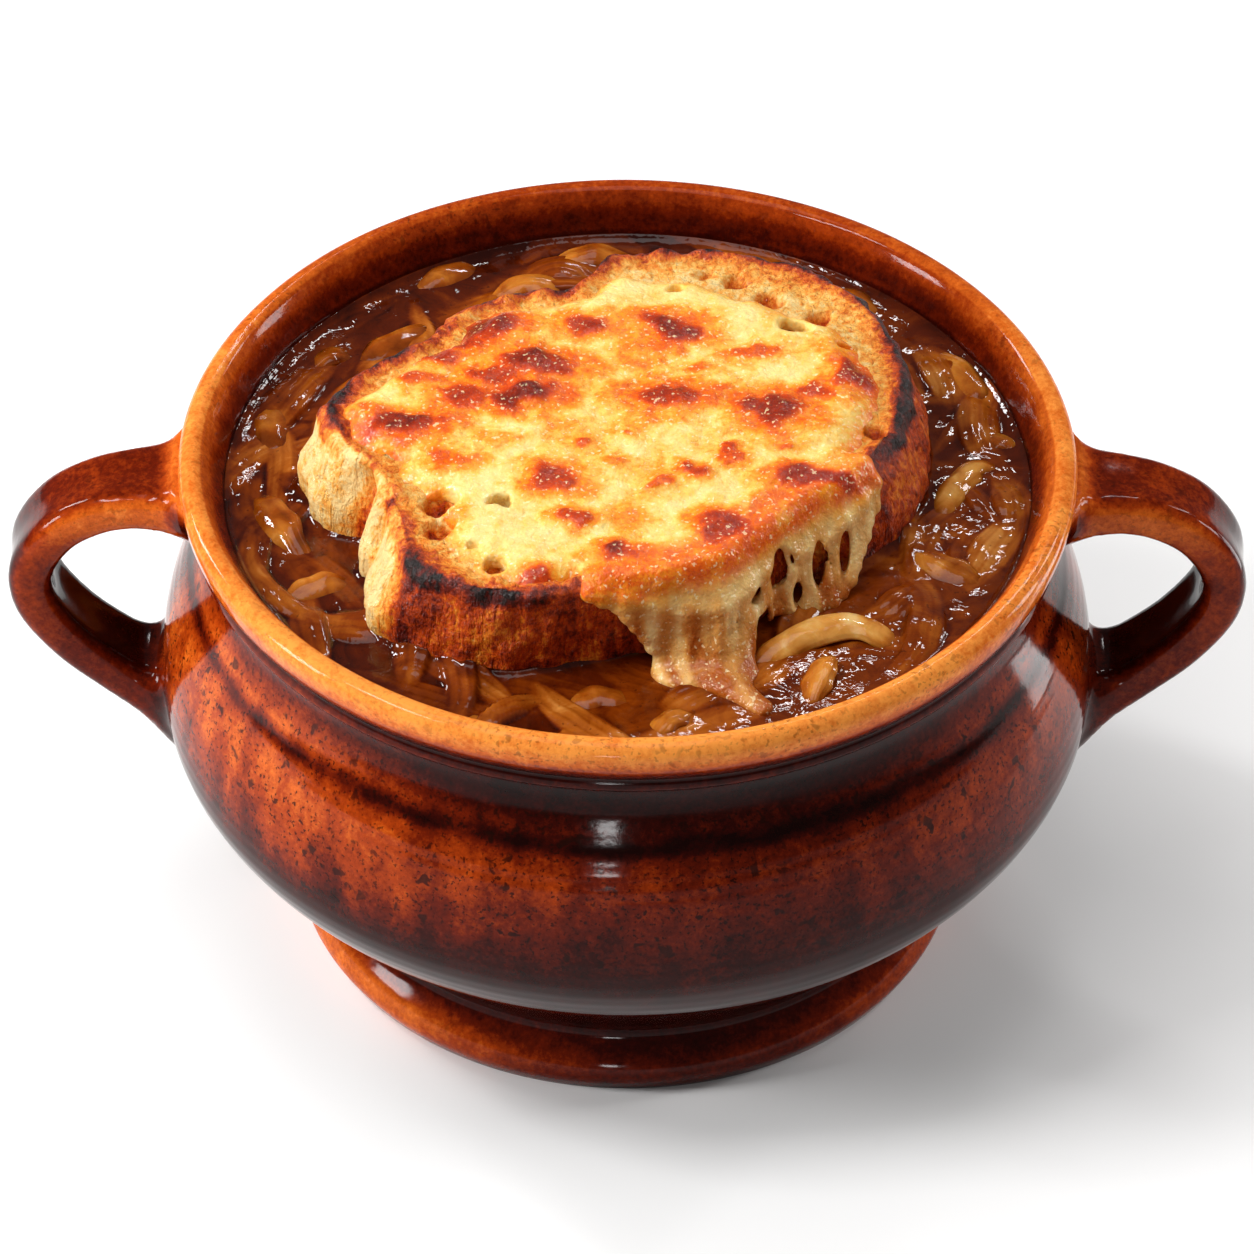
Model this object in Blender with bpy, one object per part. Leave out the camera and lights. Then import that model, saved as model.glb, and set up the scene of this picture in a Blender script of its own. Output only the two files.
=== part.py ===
"""French onion soup in a two-handled stoneware crock, with a slice of cheese toast floating in it.

Sizes are in millimetres and become metres when a mesh is made. The crock stands on z = 0 with its
axis on Z and its handles along X. The side that the melted cheese runs down to faces -Y.
"""

import math

import bmesh
import bpy
from mathutils import Vector

MM = 0.001
GAP = 0.3  # clearance between pieces that touch

# Crock
CROCK_SIDES = 40  # the soup has the same sides, so that its gap to the wall is even
RIM_RADIUS = 62.5
RIM_TOP = 78.4
RIM_ROUNDING = 2.0  # radius of the rim's rolled edge
BELLY_RADIUS = 65.7
BELLY_HEIGHT = 40.5
FOOT_RADIUS = 47.3
FOOT_RECESS_RADIUS = 38.0
FOOT_RECESS_DEPTH = 2.5
WALL_RINGS = 22  # points down the outside of the half section, below its rim
FLOOR_HEIGHT = 9.0  # top of the bowl's floor, inside

# Handles: a flat strap, one each side
HANDLE_REACH = 86.4  # outermost point from the axis
STRAP_THICKNESS = 6.4
STRAP_HALF_WIDTH = 6.0
ROOT_HALF_WIDTH = 9.4
STRAP_SECTION_POINTS = 10
STRAP_STATIONS = 16

# Soup
SOUP_LEVEL = 71.8

# Toast
BREAD_BOTTOM = 64.5
BREAD_TOP = 85.6
BREAD_CENTRE = (-2.0, 0.0)
BREAD_OUTLINE_POINTS = 44

# Melted cheese
CHEESE_THICKNESS = 1.6
CHEESE_REACH = 0.86  # how far over the toast it spreads, as a part of the toast's own outline
CHEESE_FOOT = SOUP_LEVEL + GAP
DRAPE_START = -88.0  # the stretch of the toast's edge that the cheese runs over, in degrees
DRAPE_END = -15.0

# Onion strips
ONION_THICKNESS = 1.9
ONION_SECTION_POINTS = 6
ONION_STATIONS = 7


def clear_scene():
    for thing in list(bpy.data.objects):
        bpy.data.objects.remove(thing, do_unlink=True)


def make_material(name, colour, roughness, coat=0.0):
    material = bpy.data.materials.new(name)
    material.use_nodes = True
    shader = material.node_tree.nodes["Principled BSDF"]
    shader.inputs["Base Color"].default_value = (*colour, 1.0)
    shader.inputs["Roughness"].default_value = roughness
    shader.inputs["Metallic"].default_value = 0.0
    shader.inputs["Coat Weight"].default_value = coat
    return material


def make_object(name, points, faces, material):
    """One mesh object from points in millimetres, with its faces turned outwards."""
    mesh = bpy.data.meshes.new(name)
    mesh.from_pydata([Vector(point) * MM for point in points], [], faces)
    shape = bmesh.new()
    shape.from_mesh(mesh)
    bmesh.ops.recalc_face_normals(shape, faces=shape.faces)
    bmesh.ops.triangulate(shape, faces=shape.faces)
    shape.to_mesh(mesh)
    shape.free()
    mesh.shade_smooth()
    mesh.set_sharp_from_angle(angle=math.radians(40))
    mesh.materials.append(material)
    thing = bpy.data.objects.new(name, mesh)
    bpy.context.scene.collection.objects.link(thing)
    return thing


def spline(points, steps, closed=False):
    """Catmull-Rom curve through the points, with the given number of steps between each two."""
    points = [Vector(point) for point in points]
    count = len(points)
    spans = count if closed else count - 1
    curve = []
    for span in range(spans):
        if closed:
            a, b, c, d = (points[(span + shift) % count] for shift in (-1, 0, 1, 2))
        else:
            b, c = points[span], points[span + 1]
            a = points[span - 1] if span else b * 2 - c
            d = points[span + 2] if span + 2 < count else c * 2 - b
        for step in range(steps):
            t = step / steps
            curve.append(
                (b * 2 + (c - a) * t + (a * 2 - b * 5 + c * 4 - d) * t**2
                 + (b * 3 - a - c * 3 + d) * t**3) / 2
            )
    if not closed:
        curve.append(points[-1])
    return curve


def resample(curve, count, closed=False):
    """The curve again, as evenly spaced points."""
    path = curve + [curve[0]] if closed else curve
    lengths = [0.0]
    for start, end in zip(path, path[1:]):
        lengths.append(lengths[-1] + (end - start).length)
    spans = count if closed else count - 1
    result = []
    for index in range(count):
        wanted = lengths[-1] * index / spans
        place = next(k for k in range(1, len(path)) if lengths[k] >= wanted - 1e-9)
        span = lengths[place] - lengths[place - 1]
        t = (wanted - lengths[place - 1]) / span if span else 0.0
        result.append(path[place - 1].lerp(path[place], t))
    return result


def turned(name, profile, sides, material):
    """A solid of revolution about Z. The profile is (radius, height) and starts and ends on the axis."""
    points = []
    rings = []
    for radius, height in profile:
        first = len(points)
        if radius < 1e-6:
            points.append((0.0, 0.0, height))
            rings.append([first] * sides)
        else:
            for side in range(sides):
                angle = math.tau * side / sides
                points.append((radius * math.cos(angle), radius * math.sin(angle), height))
            rings.append(list(range(first, first + sides)))
    faces = []
    for lower, upper in zip(rings, rings[1:]):
        for side in range(sides):
            after = (side + 1) % sides
            corners = [lower[side], lower[after], upper[after], upper[side]]
            faces.append(tuple(dict.fromkeys(corners)))
    return make_object(name, points, faces, material)


def stitched(name, rings, material):
    """A closed solid from rings of the same number of points, capped at both ends."""
    count = len(rings[0])
    points = [point for ring in rings for point in ring]
    faces = [tuple(range(count))]
    faces.append(tuple(range(len(points) - count, len(points))))
    for ring in range(len(rings) - 1):
        for index in range(count):
            after = (index + 1) % count
            low = ring * count
            high = low + count
            faces.append((low + index, low + after, high + after, high + index))
    return make_object(name, points, faces, material)


def rounded_section(across, up, half_width, half_thickness, count, squareness=2.6):
    """Offsets of a flat rounded section in the plane of two unit vectors."""
    offsets = []
    for index in range(count):
        angle = math.tau * (index + 0.5) / count
        x = math.copysign(abs(math.cos(angle)) ** (2 / squareness), math.cos(angle))
        y = math.copysign(abs(math.sin(angle)) ** (2 / squareness), math.sin(angle))
        offsets.append(across * (x * half_width) + up * (y * half_thickness))
    return offsets


def boolean(target, tool, operation):
    modifier = target.modifiers.new(f"{operation.lower()}_{tool.name}", "BOOLEAN")
    modifier.operation = operation
    modifier.object = tool
    modifier.solver = "EXACT"
    tool.hide_render = True
    tool.display_type = "WIRE"


def inner_wall(inset=0.0):
    """The bowl's inner wall from the soup's level down to its floor, or a line inset from it."""
    wall = [(55.9, SOUP_LEVEL), (55.0, 68.0), (55.2, 62.0), (57.2, 55.0), (58.8, 48.0),
            (59.0, 40.0), (56.2, 31.0), (50.0, 22.8), (40.0, 14.0), (28.0, FLOOR_HEIGHT + 0.8)]
    return [(radius - inset, height + inset * (height < 30.0)) for radius, height in wall]


def crock_profile():
    """Half section of the bowl: underside, foot, belly, neck, rolled rim, inner wall and floor."""
    foot_edge = FOOT_RADIUS - 1.2
    underside = [(0.0, FOOT_RECESS_DEPTH), (FOOT_RECESS_RADIUS - 1.0, FOOT_RECESS_DEPTH)]
    underside += [(FOOT_RECESS_RADIUS, 0.0)]
    outside = resample(spline(
        [
            (foot_edge, 0.0), (FOOT_RADIUS, 2.6), (46.6, 5.2), (44.1, 9.2), (47.4, 14.0),
            (53.6, 20.6), (60.6, 28.0), (64.6, 34.6), (BELLY_RADIUS, BELLY_HEIGHT),
            (65.0, 48.4), (62.9, 55.2), (60.4, 60.6), (58.8, 65.0), (59.0, 68.4),
        ],
        4,
    ), WALL_RINGS)
    ridge = [(60.7, 69.1), (60.9, 70.0), (60.3, 70.9), (60.9, 71.8), (62.0, 73.0)]
    # The rim's edge is an arc from its outer roll over to its inner slope.
    crown_centre = (RIM_RADIUS - RIM_ROUNDING, RIM_TOP - RIM_ROUNDING)
    crown = []
    for degrees in (0, 28, 56, 84, 116, 148):
        angle = math.radians(degrees)
        crown.append(
            (crown_centre[0] + RIM_ROUNDING * math.cos(angle),
             crown_centre[1] + RIM_ROUNDING * math.sin(angle))
        )
    inner_edge = [(57.9, 75.9), (57.0, 74.2), (56.2, 72.8)]
    profile = underside + [tuple(point) for point in outside] + ridge + crown + inner_edge
    return profile + inner_wall() + [(0.0, FLOOR_HEIGHT)]


def handle_path(side):
    """Centre line of a strap, from its root under the rim round to its root on the belly."""
    reach = HANDLE_REACH - STRAP_THICKNESS / 2
    route = [(57.3, 70.6), (62.0, 71.2), (68.0, 71.3), (74.0, 69.8), (79.6, 66.2), (reach, 60.0),
             (82.8, 53.4), (78.2, 46.4), (72.2, 40.8), (66.4, 36.4), (62.4, 33.0), (60.2, 31.2)]
    return resample(spline([(side * x, 0.0, z) for x, z in route], 6), STRAP_STATIONS)


def make_handle(side, material):
    path = handle_path(side)
    across = Vector((0.0, 1.0, 0.0))
    rings = []
    for index, centre in enumerate(path):
        before = path[max(index - 1, 0)]
        after = path[min(index + 1, len(path) - 1)]
        up = across.cross((after - before).normalized())
        along = index / (len(path) - 1)
        flare = math.exp(-((along / 0.13) ** 2)) + math.exp(-(((1 - along) / 0.16) ** 2))
        half_width = STRAP_HALF_WIDTH + (ROOT_HALF_WIDTH - STRAP_HALF_WIDTH) * flare
        section = rounded_section(across, up, half_width, STRAP_THICKNESS / 2, STRAP_SECTION_POINTS)
        rings.append([centre + offset for offset in section])
    return stitched(f"handle_tool_{'left' if side < 0 else 'right'}", rings, material)


def make_crock(material):
    crock = turned("crock", crock_profile(), CROCK_SIDES, material)
    for side in (-1, 1):
        boolean(crock, make_handle(side, material), "UNION")
    return crock


def bread_outline(scale=1.0, grow=0.0):
    """The toast seen from above, going anticlockwise: a long slice with a torn notch at its left."""
    corners = [
        (-42.0, 0.6), (-38.6, -9.2), (-35.4, -14.0), (-32.4, -19.4), (-31.2, -25.6), (-28.6, -33.2),
        (-22.4, -37.6), (-14.6, -39.2), (-5.8, -37.2), (3.2, -34.8), (13.4, -31.0), (21.2, -22.2),
        (29.8, -15.3), (35.4, -8.0), (38.2, 1.2), (38.4, 11.0), (35.2, 21.6), (29.0, 29.0),
        (18.0, 34.8), (7.6, 36.8), (-2.0, 35.0), (-9.4, 27.9), (-19.4, 25.0), (-27.4, 17.0),
        (-36.4, 9.4),
    ]
    outline = resample(spline([(x, y, 0.0) for x, y in corners], 4, closed=True),
                       BREAD_OUTLINE_POINTS, closed=True)
    middle = Vector((*BREAD_CENTRE, 0.0))
    result = []
    for point in outline:
        arm = point - middle
        result.append(middle + arm * (scale + grow / arm.length))
    return result


def bread_flare(point, drop):
    """How far the crust stands out, on the way down from the top: most at the two ends."""
    end = abs(point.x - BREAD_CENTRE[0]) / 40.0
    return min(drop, 9.0) / 9.0 * 4.2 * end**2


def bread_ring(height, scale=1.0, grow=0.0):
    ring = []
    middle = Vector((*BREAD_CENTRE, 0.0))
    for point in bread_outline(scale):
        arm = (point - middle).normalized()
        out = point + arm * (bread_flare(point, BREAD_TOP - height) + grow)
        ring.append(Vector((out.x, out.y, height)))
    return ring


def make_bread(name, material, grow=0.0):
    """The slice, or with grow a slightly larger copy that cuts its place in the soup."""
    rings = [bread_ring(BREAD_BOTTOM - grow, 0.93, grow)]
    for height in (BREAD_BOTTOM + 1.6, SOUP_LEVEL, BREAD_TOP - 6.0, BREAD_TOP - 1.4):
        rings.append(bread_ring(height, 1.0, grow))
    rings.append(bread_ring(BREAD_TOP + grow, 0.965, grow))
    return stitched(name, rings, material)


def drape_amount(degrees):
    """1 where the cheese has run right down the side of the toast, 0 where it stays on top."""
    if not DRAPE_START < degrees < DRAPE_END:
        return 0.0
    along = (degrees - DRAPE_START) / (DRAPE_END - DRAPE_START)
    return min(1.0, math.sin(math.pi * along) * 2.2)


def cheese_section(index, clearance):
    """Points of the cheese along one spoke, on the toast's skin at a clearance from it."""
    top = bread_ring(BREAD_TOP)[index]
    middle = Vector((*BREAD_CENTRE, BREAD_TOP))
    arm = top - middle
    outward = arm.normalized()
    degrees = math.degrees(math.atan2(arm.y, arm.x))
    drape = drape_amount(degrees)
    reach = CHEESE_REACH + 0.04 * math.sin(5 * math.radians(degrees)) + 0.1 * drape
    surface = BREAD_TOP + clearance
    dome = 0.9
    section = []
    for part in (0.3, 0.6, 0.85, 1.0):
        place = middle + arm * (part * reach)
        lift = dome * (1 - part**2) if clearance > GAP + 1e-6 else 0.0
        section.append(Vector((place.x, place.y, surface + lift)))
    for part in (0.0, 0.2, 0.55, 1.0):
        low = BREAD_TOP + clearance * 0.8 - part * drape * (BREAD_TOP - CHEESE_FOOT)
        wall = bread_ring(low)[index] + outward * (clearance + GAP)
        section.append(Vector((wall.x, wall.y, max(low, CHEESE_FOOT))))
    return section, drape


def make_cheese(material):
    """A sheet over the toast that runs over its front right edge down to the soup."""
    count = BREAD_OUTLINE_POINTS
    middle = Vector((*BREAD_CENTRE, 0.0))
    points = [middle + Vector((0.0, 0.0, BREAD_TOP + GAP))]
    points.append(middle + Vector((0.0, 0.0, BREAD_TOP + GAP + CHEESE_THICKNESS + 0.9)))
    under = []
    over = []
    for index in range(count):
        low, drape = cheese_section(index, GAP)
        high, drape = cheese_section(index, GAP + CHEESE_THICKNESS)
        keep = 8 if drape > 0.15 else 4
        under.append([len(points) + k for k in range(keep)])
        points += low[:keep]
        over.append([len(points) + k for k in range(keep)])
        points += high[:keep]
    faces = []
    for index in range(count):
        after = (index + 1) % count
        faces.append((0, under[after][0], under[index][0]))
        faces.append((1, over[index][0], over[after][0]))
        shared = min(len(under[index]), len(under[after]))
        for k in range(shared - 1):
            faces.append((under[index][k], under[after][k], under[after][k + 1], under[index][k + 1]))
            faces.append((over[index][k + 1], over[after][k + 1], over[after][k], over[index][k]))
        rim = shared - 1
        faces.append((under[index][rim], under[after][rim], over[after][rim], over[index][rim]))
        # Where the sheet starts or stops running down, its side edge is closed too.
        longer = index if len(under[index]) > shared else after
        if len(under[longer]) > shared:
            for k in range(rim, len(under[longer]) - 1):
                faces.append((under[longer][k], over[longer][k], over[longer][k + 1],
                              under[longer][k + 1]))
    return make_object("melted_cheese", points, faces, material)


def onion_strips():
    """Centre lines of the strips of onion that float at the top, with each strip's width."""
    afloat = SOUP_LEVEL - 0.2
    strips = {
        "onion_arch": ([(17.6, -39.8, 71.0), (22.6, -33.6, 73.6), (30.2, -30.6, 74.6),
                        (38.2, -34.4, 72.0)], 4.6),
        "onion_right_curl": ([(43.4, -9.4, 71.4), (44.6, -2.2, 72.6), (48.4, 2.8, 72.8),
                              (53.2, 2.6, 71.6)], 4.4),
        "onion_right_low": ([(37.6, -13.6, 71.2), (42.2, -17.2, 72.2), (49.6, -21.4, 71.6)], 6.4),
        "onion_upright": ([(27.0, -38.2, 74.6), (25.6, -41.4, 72.6), (24.8, -45.0, 70.6)], 4.2),
        "onion_front_lens": ([(-10.0, -45.6, 71.2), (-4.2, -44.4, 72.2), (2.4, -44.8, 71.4)], 6.2),
        "onion_front_point": ([(6.6, -46.4, 71.2), (4.6, -49.4, 72.7), (3.0, -52.4, 71.0)], 4.4),
        "onion_front_long": ([(-37.4, -35.2, 71.0), (-30.0, -41.0, 71.9), (-17.4, -45.2, 71.2)], 5.0),
        "onion_front_small": ([(-27.2, -45.6, 71.0), (-20.6, -49.4, 71.9), (-12.8, -51.2, 71.1)], 4.0),
        "onion_left_pale": ([(-47.6, -25.6, 71.2), (-42.6, -23.4, 72.2), (-39.6, -20.6, 71.8)], 6.2),
        "onion_left_clump": ([(-51.6, -2.6, 71.2), (-49.4, -8.8, 72.8), (-46.2, -14.8, 71.4)], 6.0),
        "onion_left_tall": ([(-47.8, 20.6, 71.2), (-49.4, 13.4, 72.8), (-49.4, 5.4, 71.4)], 5.4),
        "onion_back_left": ([(-37.6, 25.0, 71.2), (-32.4, 31.2, 72.8), (-25.0, 36.2, 71.3)], 6.0),
        "onion_left_corner": ([(-46.0, 25.2, 71.1), (-42.6, 28.6, 72.4), (-38.8, 29.0, 71.6)], 3.8),
        "onion_back_one": ([(-31.6, 41.6, 71.1), (-26.0, 46.4, 72.6), (-20.4, 48.6, 71.6)], 4.8),
        "onion_back_two": ([(-19.4, 40.4, 71.2), (-14.6, 43.6, 72.6), (-8.2, 42.8, 71.4)], 5.0),
        "onion_back_three": ([(-12.4, 48.4, 71.2), (-5.6, 50.4, 72.6), (1.8, 50.0, 71.4)], 4.8),
        "onion_right_back": ([(25.4, 44.2, 71.1), (31.6, 41.2, 72.6), (37.4, 36.8, 71.4)], 5.4),
        "onion_right_long": ([(41.4, 31.6, 71.2), (46.8, 24.6, 72.6), (49.4, 16.8, 71.6)], 5.2),
        "onion_right_short": ([(48.0, 12.4, 71.3), (52.4, 10.0, 72.2), (53.2, 7.6, 71.2)], 3.6),
    }
    for name, (centre, width) in strips.items():
        yield name, [Vector((x, y, z + afloat - SOUP_LEVEL)) for x, y, z in centre], width


def make_onion(name, centre, width, material, grow=0.0):
    """A curved strip, thick in its middle and drawn out to blunt points."""
    path = resample(spline(centre, 8), ONION_STATIONS)
    if grow:
        path[0] = path[0] + (path[0] - path[1]).normalized() * grow
        path[-1] = path[-1] + (path[-1] - path[-2]).normalized() * grow
    rings = []
    for index, point in enumerate(path):
        before = path[max(index - 1, 0)]
        after = path[min(index + 1, len(path) - 1)]
        along = (after - before).normalized()
        across = along.cross(Vector((0.0, 0.0, 1.0))).normalized()
        up = across.cross(along)
        fullness = math.sin(math.pi * (index + 0.9) / (len(path) + 0.8)) ** 0.55
        section = rounded_section(across, up, width / 2 * fullness + grow,
                                  ONION_THICKNESS / 2 * fullness + grow, ONION_SECTION_POINTS, 2.2)
        rings.append([point + offset for offset in section])
    return stitched(name, rings, material)


def make_soup(material):
    """The broth, up to its level, cut round everything that floats in it."""
    profile = [(0.0, SOUP_LEVEL)] + inner_wall(GAP) + [(0.0, FLOOR_HEIGHT + GAP)]
    soup = turned("soup", profile, CROCK_SIDES, material)
    boolean(soup, make_bread("bread_place", material, GAP), "DIFFERENCE")
    for name, centre, width in onion_strips():
        boolean(soup, make_onion(f"{name}_place", centre, width, material, GAP), "DIFFERENCE")
    return soup


def main():
    clear_scene()
    stoneware = make_material("glazed_stoneware", (0.26, 0.075, 0.018), 0.16, coat=0.6)
    broth = make_material("onion_broth", (0.14, 0.045, 0.010), 0.06)
    toast = make_material("toasted_bread", (0.52, 0.24, 0.07), 0.75)
    cheese = make_material("melted_cheese", (0.86, 0.58, 0.20), 0.38)
    onion = make_material("soft_onion", (0.50, 0.28, 0.08), 0.15)
    make_crock(stoneware)
    make_soup(broth)
    make_bread("bread", toast)
    make_cheese(cheese)
    for name, centre, width in onion_strips():
        make_onion(name, centre, width, onion)


main()
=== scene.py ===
"""Looks of the french onion soup: glazed crock, broth, onion strips, toast and melted cheese.

Shapes are worked out in millimetres in the CAD frame and become metres when a mesh is made.
"""
import math

import bpy
import numpy as np
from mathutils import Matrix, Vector


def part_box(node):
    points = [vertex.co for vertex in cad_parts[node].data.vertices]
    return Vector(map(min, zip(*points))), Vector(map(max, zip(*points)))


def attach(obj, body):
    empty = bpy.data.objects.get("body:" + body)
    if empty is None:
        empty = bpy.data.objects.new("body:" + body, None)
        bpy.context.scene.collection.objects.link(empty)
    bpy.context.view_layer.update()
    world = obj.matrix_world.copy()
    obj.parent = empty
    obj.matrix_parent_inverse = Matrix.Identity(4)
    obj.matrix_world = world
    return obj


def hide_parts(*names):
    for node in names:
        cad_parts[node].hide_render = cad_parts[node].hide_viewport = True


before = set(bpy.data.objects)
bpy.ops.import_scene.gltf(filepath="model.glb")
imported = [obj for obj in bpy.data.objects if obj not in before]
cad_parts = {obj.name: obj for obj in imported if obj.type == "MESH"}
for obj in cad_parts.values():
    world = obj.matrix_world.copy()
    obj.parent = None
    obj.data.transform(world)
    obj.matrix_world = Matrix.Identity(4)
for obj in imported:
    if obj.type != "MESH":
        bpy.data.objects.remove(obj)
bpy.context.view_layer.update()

MM = 0.001


def node_box(name):
    """Lowest and highest corners of a CAD node, in millimetres."""
    low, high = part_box(name)
    return np.array(low) / MM, np.array(high) / MM


CROCK_HIGH = node_box("crock")[1]
BREAD_LOW, BREAD_HIGH = node_box("bread")
SOUP_LEVEL = node_box("soup")[1][2]
RIM_TOP = CROCK_HIGH[2]
HANDLE_REACH = CROCK_HIGH[0]
BREAD_TOP = BREAD_HIGH[2]
BREAD_BOTTOM = BREAD_LOW[2]

# ---------------------------------------------------------------- numbers and noise

TABLE_SIZE = 4096
NOISE_TABLE = np.random.default_rng(7).uniform(-1.0, 1.0, TABLE_SIZE)


def noise(points, size, seed=0):
    """Smooth value noise from -1 to 1 with features of the given size."""
    cell = np.asarray(points, float) / size + seed * 17.31
    low = np.floor(cell).astype(np.int64)
    part = cell - low
    part = part * part * part * (part * (part * 6 - 15) + 10)
    total = np.zeros(len(cell))
    for corner in range(8):
        step = np.array([corner & 1, corner >> 1 & 1, corner >> 2 & 1])
        spot = low + step
        key = (spot[:, 0] * 73856093 ^ spot[:, 1] * 19349663 ^ spot[:, 2] * 83492791) % TABLE_SIZE
        weight = np.prod(np.where(step, part, 1 - part), axis=1)
        total += weight * NOISE_TABLE[key]
    return total


def fractal(points, size, octaves=3, seed=0):
    total = 0.0
    for octave in range(octaves):
        total = total + noise(points, size / 2**octave, seed + octave) / 2**octave
    return total / 1.5


def smoothstep(low, high, value):
    part = np.clip((value - low) / (high - low), 0.0, 1.0)
    return part * part * (3 - 2 * part)


def smooth_min(a, b, width):
    blend = np.clip(0.5 + 0.5 * (b - a) / width, 0.0, 1.0)
    return b + (a - b) * blend - width * blend * (1 - blend)


def smooth_max(a, b, width):
    return -smooth_min(-a, -b, width)


def spline(points, steps, closed=False):
    """Catmull-Rom curve through the points."""
    points = np.asarray(points, float)
    count = len(points)
    if closed:
        padded = np.vstack([points[-1:], points, points[:2]])
    else:
        padded = np.vstack([2 * points[0] - points[1], points, 2 * points[-1] - points[-2]])
    spans = count if closed else count - 1
    t = (np.arange(steps) / steps)[:, None]
    curve = []
    for span in range(spans):
        a, b, c, d = padded[span:span + 4]
        curve.append((2 * b + (c - a) * t + (2 * a - 5 * b + 4 * c - d) * t**2
                      + (3 * b - a - 3 * c + d) * t**3) / 2)
    if not closed:
        curve.append(points[-1:])
    return np.vstack(curve)


def resample(curve, count, closed=False):
    path = np.vstack([curve, curve[:1]]) if closed else curve
    length = np.concatenate([[0], np.cumsum(np.linalg.norm(np.diff(path, axis=0), axis=1))])
    wanted = np.linspace(0, length[-1], count, endpoint=not closed)
    return np.stack([np.interp(wanted, length, path[:, k]) for k in range(path.shape[1])], axis=1)


# ---------------------------------------------------------------- meshes


def make_piece(name, points, faces, material, replaced, attributes):
    """A smooth-shaded mesh piece that rides on the object, from points in millimetres."""
    mesh = bpy.data.meshes.new(name)
    mesh.from_pydata((points * MM).tolist(), [], faces)
    mesh.update()
    mesh.shade_smooth()
    for key, values in attributes.items():
        layer = mesh.attributes.new(key, "FLOAT", "POINT")
        layer.data.foreach_set("value", np.asarray(values, np.float32))
    mesh.materials.append(material)
    piece = bpy.data.objects.new(name, mesh)
    bpy.context.scene.collection.objects.link(piece)
    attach(piece, "root")
    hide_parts(*replaced)


def grid_faces(rows, columns, wrap=True):
    """Quads over a grid of points stored row by row, joined round on itself if wrap is set."""
    across = np.arange(columns if wrap else columns - 1)
    row = np.arange(rows - 1)[:, None]
    a = row * columns + across
    b = row * columns + (across + 1) % columns
    return np.stack([a, b, b + columns, a + columns], axis=-1).reshape(-1, 4)


def surface_net(values, low, step):
    """Quads over the zero surface of a sampled field, which is negative inside."""
    shape = np.array(values.shape) - 1
    sums = np.zeros((np.prod(shape), 3))
    counts = np.zeros(np.prod(shape))
    quads = []
    for axis in range(3):
        u, v = (axis + 1) % 3, (axis + 2) % 3
        first = np.take(values, np.arange(values.shape[axis] - 1), axis)
        second = np.take(values, np.arange(1, values.shape[axis]), axis)
        spots = np.argwhere((first < 0) != (second < 0))
        keys = tuple(spots.T)
        start, end = first[keys], second[keys]
        places = spots.astype(float)
        places[:, axis] += start / (start - end)
        inner = np.ones(len(spots), bool)
        for direction in (u, v):
            inner &= (spots[:, direction] > 0) & (spots[:, direction] < shape[direction])
        cells = []
        for shift in ((0, 0), (-1, 0), (-1, -1), (0, -1)):
            cell = spots.copy()
            cell[:, u] += shift[0]
            cell[:, v] += shift[1]
            cell = np.clip(cell, 0, shape - 1)
            flat = np.ravel_multi_index(tuple(cell.T), tuple(shape))
            cells.append(flat)
            counts += np.bincount(flat, minlength=len(counts))
            for k in range(3):
                sums[:, k] += np.bincount(flat, places[:, k], minlength=len(counts))
        quad = np.stack(cells, axis=1)[inner]
        turn = (start < 0)[inner]
        quad[~turn] = quad[~turn][:, ::-1]
        quads.append(quad)
    quads = np.vstack(quads)
    used, faces = np.unique(quads, return_inverse=True)
    points = sums[used] / counts[used][:, None] * step + low
    return points, faces.reshape(-1, 4)


def settle(points, field, rounds=2, reach=0.05):
    """Moves points onto the zero surface of a field."""
    for _ in range(rounds):
        value = field(points)
        slope = np.stack([(field(points + shift) - field(points - shift)) / (2 * reach)
                          for shift in np.eye(3) * reach], axis=1)
        size = np.maximum((slope**2).sum(1), 0.05)
        move = -slope * (value / size)[:, None]
        points = points + np.clip(move, -0.6, 0.6)
    return points


def sampled(field, low, high, step):
    """The field's values on a grid, worked out slab by slab."""
    axes = [np.arange(low[k], high[k] + step, step) for k in range(3)]
    slabs = []
    y, z = np.meshgrid(axes[1], axes[2], indexing="ij")
    for x in axes[0]:
        points = np.stack([np.full(y.size, x), y.ravel(), z.ravel()], axis=1)
        slabs.append(field(points).reshape(y.shape))
    return np.stack(slabs)


def joined(parts):
    """One mesh from several (points, faces) pairs."""
    points, faces, first = [], [], 0
    for part_points, part_faces in parts:
        points.append(part_points)
        faces.append(part_faces + first)
        first += len(part_points)
    return np.vstack(points), np.vstack(faces)


# ---------------------------------------------------------------- materials


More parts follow.
